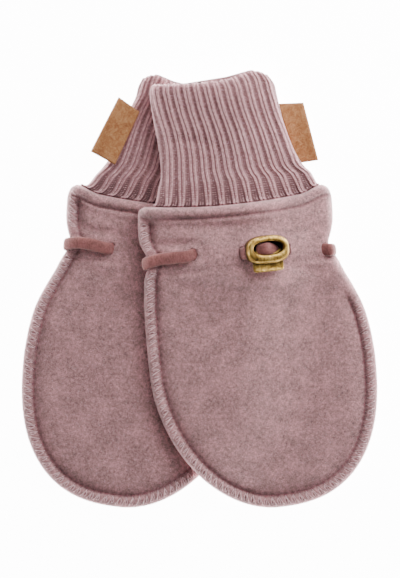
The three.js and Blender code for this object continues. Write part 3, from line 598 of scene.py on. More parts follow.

# %% [markdown]
# ## The drawstring
# A flat knitted cord runs once round each wrist: over the top panel, round the edge, under the
# lower panel and inside between them. Its route is a given list of points, which stays within a
# millimetre of the one in the solids. It is built before the panels, because a slightly thicker
# copy of it cuts their holes.

# %% Cord route and sweep
CORD_WIDTH = 4.5
THICKNESS = {"inside": 1.4, "under": 2.0, "leftEdge": 2.0, "rightEdge": 2.0, "over": 2.3}
THICKNESS.update({"lock": 2.2, "bulge": 2.2, "throughTop": 1.6, "throughUnder": 1.6})
CORD_LAY = 0.45
LOCK_SPOT = (8.1, 16.6)
LOCK_CORD_HEIGHT = 1.5
LOCK_BULGE = 2.8
ROUTE = {
    "upper": (
        (8.9, 16.3, "bulge"), (3.6, 16.8, "lock"), (1.2, 16.9, "lock"), (-0.9, 17, "throughTop"),
        (-3.5, 17, "inside"), (-10, 15.8, "inside"), (-15.6, 15.4, "inside"), (-18.3, 15.8, "throughTop"),
        (-21, 16.2, "over"), (-25, 16.2, "over"), (-31, 16.4, "over"), (-34.6, 16.9, "over"),
        (-36.6, 17.4, "leftEdge"), (-34.4, 17.4, "under"), (-27, 17, "under"), (-21, 18.2, "under"),
        (-18.2, 20.4, "throughUnder"), (-15, 21.8, "inside"), (-8, 22.4, "inside"), (4, 22.4, "inside"),
        (11.2, 21.6, "inside"), (14.2, 20, "throughUnder"), (17.2, 18.4, "under"), (23, 17.6, "under"),
        (31.2, 18.9, "under"), (33.6, 19.1, "rightEdge"), (32.4, 18.9, "over"), (29.4, 18.5, "throughTop"),
        (27, 18.1, "inside"), (19.6, 17.4, "inside"), (16.9, 17.3, "throughTop"), (14.6, 17, "lock"),
        (12, 16.8, "lock"),
    ),
    "lower": (
        (2, 15.6, "inside"), (13.7, 17, "inside"), (16.3, 17, "throughTop"), (18.9, 17, "over"),
        (24, 16.5, "over"), (29, 16.7, "over"), (32.2, 17.2, "over"), (33.6, 17.6, "rightEdge"),
        (31.2, 17.9, "under"), (25.2, 18, "under"), (22.2, 19.4, "throughUnder"), (19.2, 21.2, "inside"),
        (12, 22.4, "inside"), (2, 22.4, "inside"), (-11, 22.4, "inside"), (-15, 21.8, "inside"),
        (-18.2, 20.4, "throughUnder"), (-21, 18.2, "under"), (-27, 17, "under"), (-34.4, 17, "under"),
        (-36.6, 17, "leftEdge"), (-34.6, 16.9, "over"), (-27, 16.6, "over"), (-19.6, 16.3, "over"),
        (-16.9, 15.8, "throughTop"), (-14.2, 15.4, "inside"),
    ),
}


def cloth_at(u, down):
    inset = np.maximum(0, np.minimum(u - left_at(down), right_at(down) - u))
    return cloth_heights(np.asarray(down, float), np.asarray(u, float), inset, 0.0)


LOCK_FLOOR = float(cloth_at(*LOCK_SPOT)["top"]) + SEAM_GAP


def cord_height(u, down, lies):
    cloth = {key: float(value) for key, value in cloth_at(u, down).items()}
    half = THICKNESS[lies] / 2
    between = (cloth["lower_top"] + cloth["upper_under"]) / 2 + 0.2
    return {
        "over": cloth["top"] + CORD_LAY + half,
        "throughTop": (cloth["top"] + cloth["upper_under"]) / 2 + 0.3,
        "inside": cloth["lower_top"] + CORD_LAY + half,
        "throughUnder": (cloth["lower_top"] + cloth["underside"]) / 2 - 0.2,
        "under": CORD_LAY + half,
        "leftEdge": between,
        "rightEdge": between,
        "lock": LOCK_FLOOR + LOCK_CORD_HEIGHT,
        "bulge": LOCK_FLOOR + LOCK_CORD_HEIGHT + LOCK_BULGE,
    }[lies]


def closed_curve(points, steps):
    """A centripetal Catmull-Rom curve through a closed ring of points."""
    count = len(points)
    result = []
    for i in range(count):
        p = [points[(i + k) % count] for k in (-1, 0, 1, 2)]
        gaps = [max(1e-4, np.linalg.norm(p[k + 1] - p[k]) ** 0.5) for k in range(3)]
        t = np.cumsum([0.0] + gaps)
        for x in np.linspace(t[1], t[2], steps, endpoint=False):
            a = [((t[k + 1] - x) * p[k] + (x - t[k]) * p[k + 1]) / (t[k + 1] - t[k]) for k in range(3)]
            b = [((t[k + 2] - x) * a[k] + (x - t[k]) * a[k + 1]) / (t[k + 2] - t[k]) for k in range(2)]
            result.append(((t[2] - x) * b[0] + (x - t[1]) * b[1]) / (t[2] - t[1]))
    return np.array(result)


def cord_points(mitten, growth, steps, sides):
    """Rings of points round the cord, its wide side across its run."""
    route = ROUTE[mitten.name]
    centres = np.array([
        (u, -float(row_v(down, u)), cord_height(u, down, lies)) for u, down, lies in route
    ])
    curve = closed_curve(centres, steps)
    tangent = np.roll(curve, -1, axis=0) - np.roll(curve, 1, axis=0)
    tangent /= np.linalg.norm(tangent, axis=1)[:, None]
    thick = np.array([THICKNESS[row[2]] for row in route + route[:1]])
    thick = np.interp(np.arange(len(curve)) / steps, np.arange(len(thick)), thick)
    wide = np.array([0.0, 1.0, 0.0]) - tangent * tangent[:, 1:2]
    wide /= np.linalg.norm(wide, axis=1)[:, None]
    thin = np.cross(tangent, wide)
    angle = (np.arange(sides) + 0.5) * 2 * math.pi / sides
    across = np.sign(np.cos(angle)) * np.abs(np.cos(angle)) ** 0.75
    ring = (
        wide[:, None] * (across * (CORD_WIDTH / 2 + growth))[None, :, None]
        + thin[:, None] * (np.sin(angle)[None, :] * (thick[:, None] / 2 + growth))[..., None]
    )
    points = curve[:, None] + ring
    run = np.concatenate([[0], np.cumsum(np.linalg.norm(np.diff(curve, axis=0), axis=1))])
    return mitten.place(points[..., 0], -points[..., 1], points[..., 2]), run, angle


# %% [markdown]
# ## Knitted cord
# The cord's stitches are tiny and lie in slanting columns along it. Its run and its angle round
# are stored on the mesh, so a wave of both gives the columns without any unwrapping.

# %% Cord material and pieces
def cord_material():
    paint = Paint("cord_knit", Roughness=0.85, Sheen_Weight=0.35, Sheen_Roughness=0.4)
    run = paint.attribute("run")
    turn = paint.attribute("turn")
    columns = paint.node("ShaderNodeMath", {"operation": "SINE"}, {0: turn * 22.0})
    stitches = paint.node("ShaderNodeMath", {"operation": "SINE"}, {0: run * 7.0 + columns * 1.6})
    fuzz = paint.noise(1.6, detail=3, roughness=0.7)
    clouds = paint.noise(0.25, detail=2)
    shade = stitches * 0.02 + columns * 0.02 + fuzz * 0.6 + clouds * 0.35
    color = paint.ramp(shade, [
        (0.3, srgb(97, 54, 52)), (0.45, srgb(127, 75, 73)), (0.62, srgb(153, 94, 91)),
    ])
    paint.feed(paint.shader.inputs["Base Color"], color)
    paint.bump(stitches * 0.04 + columns * 0.05 + fuzz * 0.6, 0.12)
    return paint.material


CORD_MATERIAL = cord_material()
CORD_SIDES = 24


def drawstring(mitten):
    points, run, angle = cord_points(mitten, 0.0, 10, CORD_SIDES)
    faces = grid_faces(*points.shape[:2], wrap_rows=True, wrap_columns=True)[:, ::-1]
    if mitten.turned:
        faces = faces[:, ::-1]
    values = {
        "run": np.repeat(run, CORD_SIDES),
        "turn": np.tile(angle / (2 * math.pi), len(run)),
    }
    piece = make_mesh(f"{mitten.name}_drawstring", points, faces.tolist(), CORD_MATERIAL, values)
    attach(piece, "root")
    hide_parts(f"{mitten.name}_cord")
    return piece


drawstrings = {mitten.name: drawstring(mitten) for mitten in PAIR}

# %% [markdown]
# ## The fleece panels
# A panel is a thin closed shell between two of the height surfaces. Soft troughs and ridges made
# by the drawstring's pull are placed one by one near its holes, and slow waves keep the cloth from
# looking pressed. The stitches of the overlock squeeze the roll at each pitch, so it bulges
# between them. Afterwards the thicker copy of the cord cuts the holes, as an awl would.

# %% Panel creases
STITCH_PITCH = 2.75
WAVE_DEPTH = 0.16
ROLL_BULGE = 0.26
INSETS = np.concatenate([
    np.arange(0, 5.6, 0.36), np.linspace(5.6, 12, 9), np.linspace(13.2, EVEN_TO, 13),
    np.linspace(EVEN_TO, LAST_INSET, 17)[1:],
])
# Middle u and down, half length and half width in mm, direction in degrees, depth in mm
TROUGHS = {
    "upper": (
        (-25, 25.5, 9, 2.6, 22, 0.55), (-16, 23.5, 7, 2.2, -28, 0.45), (4, 24.5, 9, 2.8, -8, 0.5),
        (20, 23.5, 7, 2.4, 24, 0.5), (26, 12, 6, 2.2, -32, 0.35), (-4, 11.5, 8, 2.6, 10, 0.35),
        (-24, 11, 7, 2.2, -14, 0.35), (12, 10.5, 6, 2.2, 16, 0.3), (-18, 70, 22, 7, 64, 0.3),
        (22, 62, 20, 8, -70, 0.3), (2, 92, 18, 8, 4, 0.25),
    ),
    "lower": (
        (24, 24.5, 9, 2.6, -24, 0.55), (15, 25.5, 8, 2.4, 30, 0.4), (-24, 24.5, 9, 2.6, 20, 0.5),
        (24, 11.5, 7, 2.2, 14, 0.35), (-20, 11, 7, 2.2, -14, 0.35), (18, 66, 22, 7, -64, 0.3),
        (30, 84, 14, 6, 40, 0.25), (-14, 70, 20, 8, 60, 0.3),
    ),
}


def creases(name, u, v, sign):
    """Soft troughs, and slow waves that are shallow at the edge. The hidden side has them too."""
    relief = np.zeros_like(u)
    for middle_u, middle_v, length, width, degrees, depth in TROUGHS[name]:
        angle = math.radians(degrees)
        along = (u - middle_u) * math.cos(angle) + (v - middle_v) * math.sin(angle)
        across = -(u - middle_u) * math.sin(angle) + (v - middle_v) * math.cos(angle)
        relief -= depth * np.exp(-((along / length) ** 2) - (across / width) ** 2)
    waves = np.sin(u * 0.21 + 1.3 * sign) * np.sin(v * 0.17 + 0.6)
    waves = waves + 0.6 * np.sin(u * 0.11 - v * 0.14 + sign)
    return relief + WAVE_DEPTH * waves


def at_stitch(lengths):
    """1 at each stitch along the outline and -1 midway between two."""
    return np.cos(2 * math.pi * lengths / STITCH_PITCH)


def roll_bulge(inset, lengths):
    """Between two stitches the roll swells, under a stitch it is squeezed."""
    return -ROLL_BULGE * hump(inset, 1.9, 1.5) * at_stitch(lengths)


# %% Panel meshes
THINNEST = 0.8
# How much of the groove's dark red is painted on: in the groove as thread colour and painted shade,
# on the roll as painted shade where stitches squeeze it, along the hem as painted shade, and evenly
# over the turned mitten
TINT = {"groove": 0.84, "squeezed": 0.6, "hem": 0.34, "turned": 0.07}


def panel_points(mitten, above):
    place, down = on_ray(RAYS, INSETS)
    inset = np.broadcast_to(INSETS, down.shape)
    fold = mitten.fold(RAYS)[:, None]
    heights = cloth_heights(down, place[..., 0], inset, fold)
    plain = np.maximum(fold, 1 - smooth(5, 8, down))
    stitch = at_stitch(EDGE_LENGTH)[:, None]
    inner = smooth(3, 9, inset) * smooth(0, 9, down)
    upper_key, lower_key = ("top", "upper_under") if above else ("lower_top", "underside")
    upper = heights[upper_key].copy()
    lower = heights[lower_key] * np.ones_like(upper)
    relief = creases(mitten.name, place[..., 0], place[..., 1], 1 if above else -1)
    if above:
        upper += relief * inner + roll_bulge(inset, EDGE_LENGTH[:, None]) * (1 - plain)
        lower = np.minimum(lower, upper - THINNEST)
    else:
        upper = upper * np.ones_like(lower)
        lower += np.maximum(0, -relief) * inner * 0.7
    # Painted shade: the needle groove, the dips where stitches squeeze the roll, and the hem's row
    beads = 0.76 + 0.24 * stitch
    groove = TINT["groove"] * beads * hump(inset, 4.3, 0.85 + 0.25 * stitch)
    squeezed = TINT["squeezed"] * hump(inset, 2.6, 1.5) * (0.5 + 0.5 * stitch) ** 3
    hem = TINT["hem"] * hump(down, STITCH_ROW, 0.75)
    tint = np.maximum(hem, np.maximum(groove, squeezed) * (1 - plain))
    tint = np.maximum(tint, TINT["turned"] if mitten.turned else 0.0)
    return place, upper, lower, tint if above else np.zeros_like(tint)


def panel_mesh(mitten, above):
    place, upper, lower, groove = panel_points(mitten, above)
    rows, columns = upper.shape
    points = np.stack([
        mitten.place(place[..., 0], place[..., 1], upper),
        mitten.place(place[..., 0], place[..., 1], lower),
    ])
    size = rows * columns
    top_faces = grid_faces(rows, columns)
    faces = [top_faces, top_faces[:, ::-1] + size]
    outer = np.arange(rows) * columns
    faces.append(np.stack([outer[:-1], outer[:-1] + size, outer[1:] + size, outer[1:]], -1))
    for row, order in ((0, -1), (rows - 1, 1)):
        chain = row * columns + np.arange(columns)
        wall = np.stack([chain[:-1], chain[:-1] + size, chain[1:] + size, chain[1:]], -1)
        faces.append(wall[:, ::order])
    faces = np.concatenate(faces)
    if mitten.turned:
        faces = faces[:, ::-1]
    side = "front" if above != mitten.turned else "back"
    name = f"{mitten.name}_{side}_fleece"
    values = {"groove": np.stack([groove, np.zeros_like(groove)])}
    piece = make_mesh(name, points, faces.tolist(), FLEECE_MATERIAL, values)
    return piece, f"{mitten.name}_{side}_panel"


def weld(piece, distance):
    """Merges points that lie together, such as the ends of all rays, as Merge by Distance does."""
    shape = bmesh.new()
    shape.from_mesh(piece.data)
    bmesh.ops.remove_doubles(shape, verts=shape.verts, dist=distance * MM)
    bmesh.ops.dissolve_degenerate(shape, edges=shape.edges, dist=distance * MM * 0.1)
    bmesh.ops.recalc_face_normals(shape, faces=shape.faces)
    shape.to_mesh(piece.data)
    shape.free()
    piece.data.polygons.foreach_set("use_smooth", [True] * len(piece.data.polygons))


HOLE_CLEARANCE = 0.25


def punch(piece, mitten, passage):
    """Cuts each hole with the stretch of cord that passes there, made a little thicker."""
    steps, sides = 4, 14
    rings = cord_points(mitten, HOLE_CLEARANCE, steps, sides)[0]
    for row, (_, _, lies) in enumerate(ROUTE[mitten.name]):
        if lies != passage:
            continue
        chosen = np.arange((row - 1) * steps, (row + 1) * steps + 1) % len(rings)
        faces = grid_faces(len(chosen), sides, wrap_columns=True).tolist()
        last = (len(chosen) - 1) * sides
        faces += [list(range(sides)), list(range(last, last + sides))[::-1]]
        awl = make_mesh("awl", rings[chosen], faces, FLEECE_MATERIAL)
        weld(awl, 0.001)
        cutter = piece.modifiers.new("hole", "BOOLEAN")
        cutter.operation = "DIFFERENCE"
        cutter.object = awl
        cutter.solver = "EXACT"
        bpy.context.view_layer.update()
        evaluated = piece.evaluated_get(bpy.context.evaluated_depsgraph_get())
        result = bpy.data.meshes.new_from_object(evaluated)
        piece.modifiers.clear()
        piece.data = result
        bpy.data.objects.remove(awl)


panels = {}
for mitten in PAIR:
    for above in (False, True):
        piece, node = panel_mesh(mitten, above)
        weld(piece, 0.02)
        punch(piece, mitten, "throughTop" if above else "throughUnder")
        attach(piece, "root")
        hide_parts(node)
        panels[mitten.name, above] = piece

# %% [markdown]
# ## Nap
# Brushing pulls fibre ends out of the wool, and they soften its outline. Each fibre is one sliver
# of a triangle, rooted at a random place on the panel and combed almost flat. The places are drawn
# by face area from a seeded generator, so every run gives the same nap.

# %% Nap fibres
FIBRE_WIDTH = 0.05


def nap(piece, count, seed):
    random = np.random.default_rng(seed)
    mesh = piece.data
    mesh.calc_loop_triangles()
    corners = np.zeros(len(mesh.loop_triangles) * 3, int)
    mesh.loop_triangles.foreach_get("vertices", corners)
    points = np.zeros(len(mesh.vertices) * 3)
    mesh.vertices.foreach_get("co", points)
    triangles = points.reshape(-1, 3)[corners.reshape(-1, 3)]
    normal = np.cross(triangles[:, 1] - triangles[:, 0], triangles[:, 2] - triangles[:, 0])
    area = np.linalg.norm(normal, axis=1)
    chosen = random.choice(len(area), count, p=area / area.sum())
    share = random.random((count, 2))
    share = np.where(share.sum(1, keepdims=True) > 1, 1 - share, share)
    first, second, third = triangles[chosen].transpose(1, 0, 2)
    root = first + (second - first) * share[:, :1] + (third - first) * share[:, 1:]
    outward = normal[chosen] / (area[chosen, None] + 1e-12)
    lean = random.normal(size=(count, 3))
    lean -= outward * (lean * outward).sum(1, keepdims=True)
    lean /= np.linalg.norm(lean, axis=1)[:, None]
    across = np.cross(outward, lean)
    length = (0.5 + random.random((count, 1)) * 0.9) * MM
    width = FIBRE_WIDTH * MM
    root -= outward * width
    tip = root + lean * length + outward * length * (0.12 + 0.3 * random.random((count, 1)))
    blades = np.stack([root - across * width, root + across * width, tip], 1)
    blades[..., 2] = np.maximum(blades[..., 2], 0)
    tint = np.repeat(np.clip(random.normal(0.5, 0.25, count), 0, 1), 3)
    faces = np.arange(count * 3).reshape(-1, 3)
    name = piece.name.replace("fleece", "nap")
    fibres = make_mesh(name, blades, faces.tolist(), FIBRE_MATERIAL, {"tint": tint})
    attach(fibres, "root")
    return fibres


NAP_COUNT = {
    ("lower", False): 9000, ("lower", True): 34000, ("upper", False): 9000, ("upper", True): 40000,
}
naps = {key: nap(panels[key], count, 11 + i) for i, (key, count) in enumerate(NAP_COUNT.items())}
print("fibres:", sum(NAP_COUNT.values()))

# %% [markdown]
# ## Overlock and topstitching
# An overlock binds the two raw edges: at each stitch strands of a paler, silky thread slant over
# the roll from the needle's line to the edge and round it, and the needle's own thread shows as a
# reddish dash in the groove. The tubes are laid on the same heights as the roll, so they sink in
# a little wherever they cross it.

# %% Thread materials
def thread_material(name, pale, dark):
    paint = Paint(name, Roughness=0.5, Sheen_Weight=0.2)
    strands = paint.noise(3.5, detail=2, roughness=0.6)
    color = paint.ramp(strands, [(0.35, dark), (0.62, pale)])
    paint.feed(paint.shader.inputs["Base Color"], color)
    paint.bump(strands, 0.06)
    return paint.material


LOOPER_THREAD = thread_material("looper_thread", srgb(244, 208, 210), srgb(196, 142, 146))
NEEDLE_THREAD = thread_material("needle_thread", srgb(166, 92, 102), srgb(104, 50, 60))
HEM_THREAD = thread_material("hem_thread", srgb(160, 110, 118), srgb(126, 78, 86))

# %% Stitches on the roll
SEAM_START = 2.5 * STITCH_PITCH


def seam_lengths(mitten):
    """Where the overlock's stitches sit along the outline, past the wrist band at both ends."""
    lengths = np.arange(SEAM_START, EDGE_LENGTH[-1] - SEAM_START, STITCH_PITCH) + STITCH_PITCH * 0.5
    rays = rays_at(lengths)
    at_cord = np.abs(rays["down"] - CORD_ROW) < 3.4
    at_cord &= rays["down"] < 30
    return lengths[(mitten.fold(rays) < 0.35) & ~at_cord]


def roll_point(mitten, lengths, insets, lift):
    """A point on the roll for each stitch (row) and step (column), lift above its surface."""
    count, length = lengths.shape
    rays = rays_at(lengths.ravel())
    edge, normal = rays["edge"], rays["normal"]
    inset = insets.ravel()
    place = edge + normal * inset[:, None]
    upper = rays["down"] < TIP["v"]
    place[:, 1] = np.where(upper, row_v(rays["down"], place[:, 0]), place[:, 1])
    down = np.where(upper, rays["down"], place[:, 1])
    inward = np.maximum(inset, 0)
    heights = cloth_heights(down, place[:, 0], inward, mitten.fold(rays))
    top = heights["top"] + roll_bulge(inward, lengths.ravel())
    points = mitten.place(place[:, 0], place[:, 1], top + lift.ravel())
    return points.reshape(count, length, 3)


def looper_paths(mitten, seed):
    """Each stitch's threads: two that bow apart over the roll, and one that slants to the next."""
    random = np.random.default_rng(seed)
    lengths = seam_lengths(mitten)
    share = np.linspace(0, 1, 9)
    paths = []
    for bow in (-0.5, 0.5, 0):
        jitter = random.normal(0, 0.12, (len(lengths), 1))
        spread = bow * random.uniform(0.6, 1.2, (len(lengths), 1)) * np.sin(share * math.pi)[None, :]
        slant = 0.5 if bow else 2.3
        at = lengths[:, None] + jitter + spread + slant * (share - 0.5)[None, :] + (0 if bow else 1.1)
        reach = (3.6, 0.9) if bow else (4.2, 0.1)
        inset = np.broadcast_to(mix(*reach, share ** 0.9), at.shape)
        sink = random.normal(0.0, 0.035, (len(lengths), 1)) - (0 if bow else 0.07)
        lift = sink + 0.09 * np.sin(share * math.pi) - (0.2 if bow else 0.9) * smooth(0.75, 1, share)
        paths.append(roll_point(mitten, at, inset, lift))
    return np.concatenate(paths)


def needle_paths(mitten, seed):
    """The needle's thread shows as short dashes that dive into the groove at both ends."""
    random = np.random.default_rng(seed)
    lengths = seam_lengths(mitten)
    share = np.linspace(0, 1, 7)
    reach = random.uniform(1.2, 1.9, (len(lengths), 1))
    at = lengths[:, None] + (share[None, :] - 0.5) * reach
    wander = random.normal(0, 0.16, (len(lengths), 1)) + 0.1 * np.sin(share * 2 * math.pi)[None, :]
    lift = 0.16 * np.sin(share * math.pi)[None, :] - 0.1 * np.ones_like(at)
    return roll_point(mitten, at, 4.5 + wander, lift)


def add_threads(name, paths, radius, material, flatten=0.8):
    points, faces = tubes(paths, radius * MM, sides=6, flatten=flatten)
    points[:, 2] = np.maximum(points[:, 2], 0)
    piece = make_mesh(name, points, faces, material)
    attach(piece, "root")
    return piece


def hem_paths(mitten, seed):
    """The wrist band's topstitches: short dashes sunk in the row that they pull down."""
    random = np.random.default_rng(seed)
    start, end = left_at(STITCH_ROW) + 1.6, right_at(STITCH_ROW) - 1.6
    middles = np.arange(start, end, 2.9)
    share = np.linspace(0, 1, 6)
    u = middles[:, None] + (share - 0.5)[None, :] * 2.2
    down = STITCH_ROW + random.normal(0, 0.05, (len(middles), 1)) * np.ones_like(u)
    inset = np.minimum(u - left_at(down), right_at(down) - u)
    top = cloth_heights(down, u, inset, 0.0)["top"]
    return mitten.place(u, row_v(down, u), top - 0.14 + 0.12 * np.sin(share * math.pi))


for seed, mitten in enumerate(PAIR):
    add_threads(f"{mitten.name}_looper", looper_paths(mitten, 30 + seed), 0.13, LOOPER_THREAD)
    add_threads(f"{mitten.name}_needle", needle_paths(mitten, 40 + seed), 0.15, NEEDLE_THREAD)
    add_threads(f"{mitten.name}_topstitch", hem_paths(mitten, 50 + seed), 0.11, HEM_THREAD)
    print(mitten.name, "overlock stitches:", len(seam_lengths(mitten)))

# %% [markdown]

# %% [markdown]
# ## Rib-knit cuffs
# The cuff is a 2 x 2 rib: two columns of knit stitches stand up, and two purl columns sink between
# them. The base is a wavy closed tube. On its ribs every knit stitch is a V of two grains, as thick
# as the yarn, and in the gutters the purl bumps are small bars, painted darker as shade because they lie
# deep.

# %% Cuff form
RIB_WALL = 2.2
CUFF_HOLLOW = 0.4
RIB_RELIEF = 0.75
CUFF_HALF = RIB_WALL + CUFF_HOLLOW / 2
CUFF_LENGTH = 48
MOUTH_RADIUS = 1.9
MOUTH_THIN = 0.35  # the tube's height at the mouth's very edge, as a share
WRIST_GAP = 0.7
RIBS = 12.25
MOUTH = ((0, 0), (0.35, -0.7), (0.65, -0.3), (0.9, 1.9), (1, 0))
# Share from the seam to the mouth, and how far the ribs are shifted there, in ribs
RIB_SHIFT = ((0, 0.56), (0.12, 0.42), (0.25, 0.25), (0.38, 0.38), (0.6, 0.43), (0.8, 0.2), (1, 0))
RIB_SECTION = (
    (0, 0.3), (0.09, 0.34), (0.19, 0.72), (0.28, 0.98), (0.37, 0.96), (0.46, 0.6), (0.5, 0.52),
    (0.54, 0.6), (0.63, 0.96), (0.72, 0.98), (0.81, 0.72), (0.91, 0.34), (1, 0.3),
)
KINK_DEPTH = 0.9
WALES = (0.33, 0.67)
PURL_WALES = (-0.085, 0.085)


def cuff_place(name, share, across):
    """Shares below zero are the cuff's sewn edge, tucked in between the panels."""
    rows = CUFF[name]
    left_u, left_v, right_u, right_v = [read(rows, share, column) for column in (1, 2, 3, 4)]
    u = mix(left_u, right_u, across)
    line = mix(left_v, right_v, across)
    rise = read(MOUTH, across) * smooth(0.6, 1, share)
    tuck = -np.minimum(0, share) * CUFF_LENGTH
    return u, mix(sag(u) - WRIST_GAP, line - rise, smooth(0, 0.16, share)) + tuck


def opened(share):
    """By the wrist seam the rib is pulled open: its wales draw together, its gutters widen."""
    return 1 - 0.36 * smooth(0.2, 0.02, share)


def rib_phase(across, share):
    return across * RIBS - read(RIB_SHIFT, share)


def rib_relief(across, share):
    from_rib = np.mod(rib_phase(across, share), 1) - 0.5
    return read(RIB_SECTION, np.clip(0.5 + from_rib / opened(share), 0, 1))


def kink(name, across, share):
    """Where the upper cuff is bent at its left, the knit is pressed in across a soft line."""
    if name == "lower":
        return 0 * across
    line = 0.5 + 0.03 * np.sin(across * 9)
    reach = (1 - smooth(0.3, 0.5, across)) * smooth(0.02, 0.1, across)
    return KINK_DEPTH * hump(share, line, 0.045) * reach


def cuff_rounding(name, share, across):
    """How far the tube has risen from its round sides, and from there and its round mouth."""
    left, right = [cuff_place(name, share, np.full_like(across, side))[0] for side in (0.0, 1.0)]
    side = quarter_round(np.minimum(across, 1 - across) * (right - left) / CUFF_HALF)
    mouth = quarter_round((1 - share) * CUFF_LENGTH / MOUTH_RADIUS)
    return side, side * mix(MOUTH_THIN, 1, mouth)


def cuff_outside(mitten, share, across, ribbed=1.0):
    """Points on the cuff's upper outside, which is scalloped by its ribs at the folded mouth."""
    u, v = cuff_place(mitten.name, share, across)
    v = v - 0.5 * rib_relief(across, share) * smooth(0.88, 1, share)
    side, rounding = cuff_rounding(mitten.name, share, across)
    rib = rib_relief(across, share) * RIB_RELIEF * ribbed
    swell = 0.12 * np.sin(across * 7 + share * 5) + 0.1 * np.sin(share * 13 + across * 3)
    open_height = CUFF_HALF + (CUFF_HALF + rib + swell) * rounding - kink(mitten.name, across, share)
    return u, v, mix(open_height, CUFF_HALF + 2.3 * side, smooth(-0.005, -0.03, share))


def cuff_underside(mitten, share, across):
    u, v = cuff_place(mitten.name, share, across)
    rise = CUFF_HALF * (1 - cuff_rounding(mitten.name, share, across)[1])
    return u, v, mix(rise, 2.4, smooth(0.004, -0.02, share))


# %% Knit materials
def rib_material():
    paint = Paint("rib_ground", Roughness=0.95, Sheen_Weight=0.2)
    depth = paint.attribute("depth")
    fuzz = paint.noise(1.4, detail=3, roughness=0.7)
    # Painted shade: the colour follows the ground's depth, dark in the gutters and light on the wales
    shade = depth * 0.75 + fuzz * 0.35
    color = paint.ramp(shade, [
        (0.1, srgb(92, 62, 64)), (0.45, srgb(146, 104, 107)), (0.95, srgb(202, 152, 156)),
    ])
    paint.feed(paint.shader.inputs["Base Color"], color)
    paint.bump(fuzz, 0.15)
    return paint.material


def yarn_material(name, pale, middle, dark):
    """Each stitch has its own tint, because a melange yarn changes along its length."""
    paint = Paint(name, Roughness=0.9, Sheen_Weight=0.3)
    fibres = paint.noise(1.9, detail=3, roughness=0.7)
    tint = paint.attribute("tint")
    color = paint.ramp(fibres * 0.4 + tint * 0.6, [(0.25, dark), (0.5, middle), (0.75, pale)])
    paint.feed(paint.shader.inputs["Base Color"], color)
    return paint.material


RIB_MATERIAL = rib_material()
KNIT_YARN = yarn_material("knit_yarn", srgb(240, 196, 199), srgb(216, 166, 170), srgb(172, 126, 129))
# Painted shade: the purl yarn is the knit yarn in darker colours, for the gutters it lies in
SHADED_PURL_YARN = yarn_material("shaded_purl_yarn", srgb(220, 170, 174), srgb(178, 130, 134), srgb(122, 83, 86))

# %% Cuff ground
CUFF_ROWS = np.concatenate([[-0.045, -0.03, -0.015], np.linspace(0, 1, 70)])
CUFF_COLUMNS = np.linspace(0, 1, 197)


def cuff_ground(mitten):
    share, across = np.meshgrid(CUFF_ROWS, CUFF_COLUMNS, indexing="ij")
    top = mitten.place(*cuff_outside(mitten, share, across))
    thin = across[:, ::7]
    bottom = mitten.place(*cuff_underside(mitten, share[:, ::7], thin))[:, ::-1][:, 1:-1]
    outer = np.concatenate([top, bottom], axis=1)
    inner_share, inner_cross = np.meshgrid(CUFF_ROWS, np.linspace(0.06, 0.94, 15), indexing="ij")
    u, v = cuff_place(mitten.name, inner_share, inner_cross)
    ceiling = mitten.place(u, v, np.full_like(u, RIB_WALL + CUFF_HOLLOW + 0.5))
    floor = mitten.place(u, v, np.full_like(u, RIB_WALL + 0.4))[:, ::-1]
    inner = np.concatenate([ceiling, floor], axis=1)
    rows = len(CUFF_ROWS)
    outer_count, inner_count = outer.shape[1], inner.shape[1]
    faces = grid_faces(rows, outer_count, wrap_columns=True).tolist()
    start = rows * outer_count
    faces += grid_faces(rows, inner_count, wrap_columns=True, first=start)[:, ::-1].tolist()
    spread = np.round(np.linspace(0, outer_count, inner_count + 1)).astype(int)
    for row in (0, rows - 1):
        inner_ring = start + row * inner_count
        for k in range(inner_count):
            span = row * outer_count + np.arange(spread[k], spread[k + 1] + 1) % outer_count
            wall = span.tolist() + [inner_ring + (k + 1) % inner_count, inner_ring + k]
            faces.append(wall if row else wall[::-1])
    # Painted shade: the ground is painted deeper towards the wrist seam, where the rib is pulled open, and on
    # the lower cuff, which lies under the upper one. The underside is painted middling and the inside dark
    painted_shade = 0.4 * smooth(0.2, 0.03, share) + 0.1 * mitten.turned
    depth = np.concatenate([rib_relief(across, share) - painted_shade, np.full(bottom.shape[:2], 0.6)], axis=1)
    values = {"depth": np.concatenate([depth.ravel(), np.full(rows * inner_count, 0.3)])}
    points = np.concatenate([outer.reshape(-1, 3), inner.reshape(-1, 3)])
    piece = make_mesh(f"{mitten.name}_rib", points, faces, RIB_MATERIAL, values)
    weld(piece, 0.005)
    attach(piece, "root")
    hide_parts(f"{mitten.name}_cuff")
    return piece


# %% Knit stitches
GRAIN_SIDES = 5
GRAIN_POINTS = 2 * GRAIN_SIDES + 2
GRAIN_SHOULDER = 0.45


def grains(middle, along, across, outward, length, width, height):
    """Small spindles, one for each stitch half: points and faces of them all in one mesh."""
    count = len(middle)
    sides = GRAIN_SIDES
    angle = np.linspace(0, 2 * math.pi, sides, endpoint=False)
    wide, high = np.cos(angle)[None, :, None] * width, np.sin(angle)[None, :, None] * height
    ring = across[:, None] * wide + outward[:, None] * high
    middle, ends = middle[:, None], (along * length)[:, None]
    parts = [
        middle - ends, middle - ends * GRAIN_SHOULDER + ring,
        middle + ends * GRAIN_SHOULDER + ring, middle + ends,
    ]
    points = np.concatenate(parts, axis=1)
    one = []
    for k in range(sides):
        m = (k + 1) % sides
        one.append((0, 1 + m, 1 + k, 1 + k))
        one.append((1 + k, 1 + m, 1 + sides + m, 1 + sides + k))
        one.append((1 + sides + k, 1 + sides + m, 1 + 2 * sides, 1 + 2 * sides))
    faces = []
    for corner in one:
        unique = list(dict.fromkeys(corner))
        faces += (np.array(unique)[None] + (np.arange(count) * GRAIN_POINTS)[:, None]).tolist()
    return points.reshape(-1, 3), faces


COURSES = 95


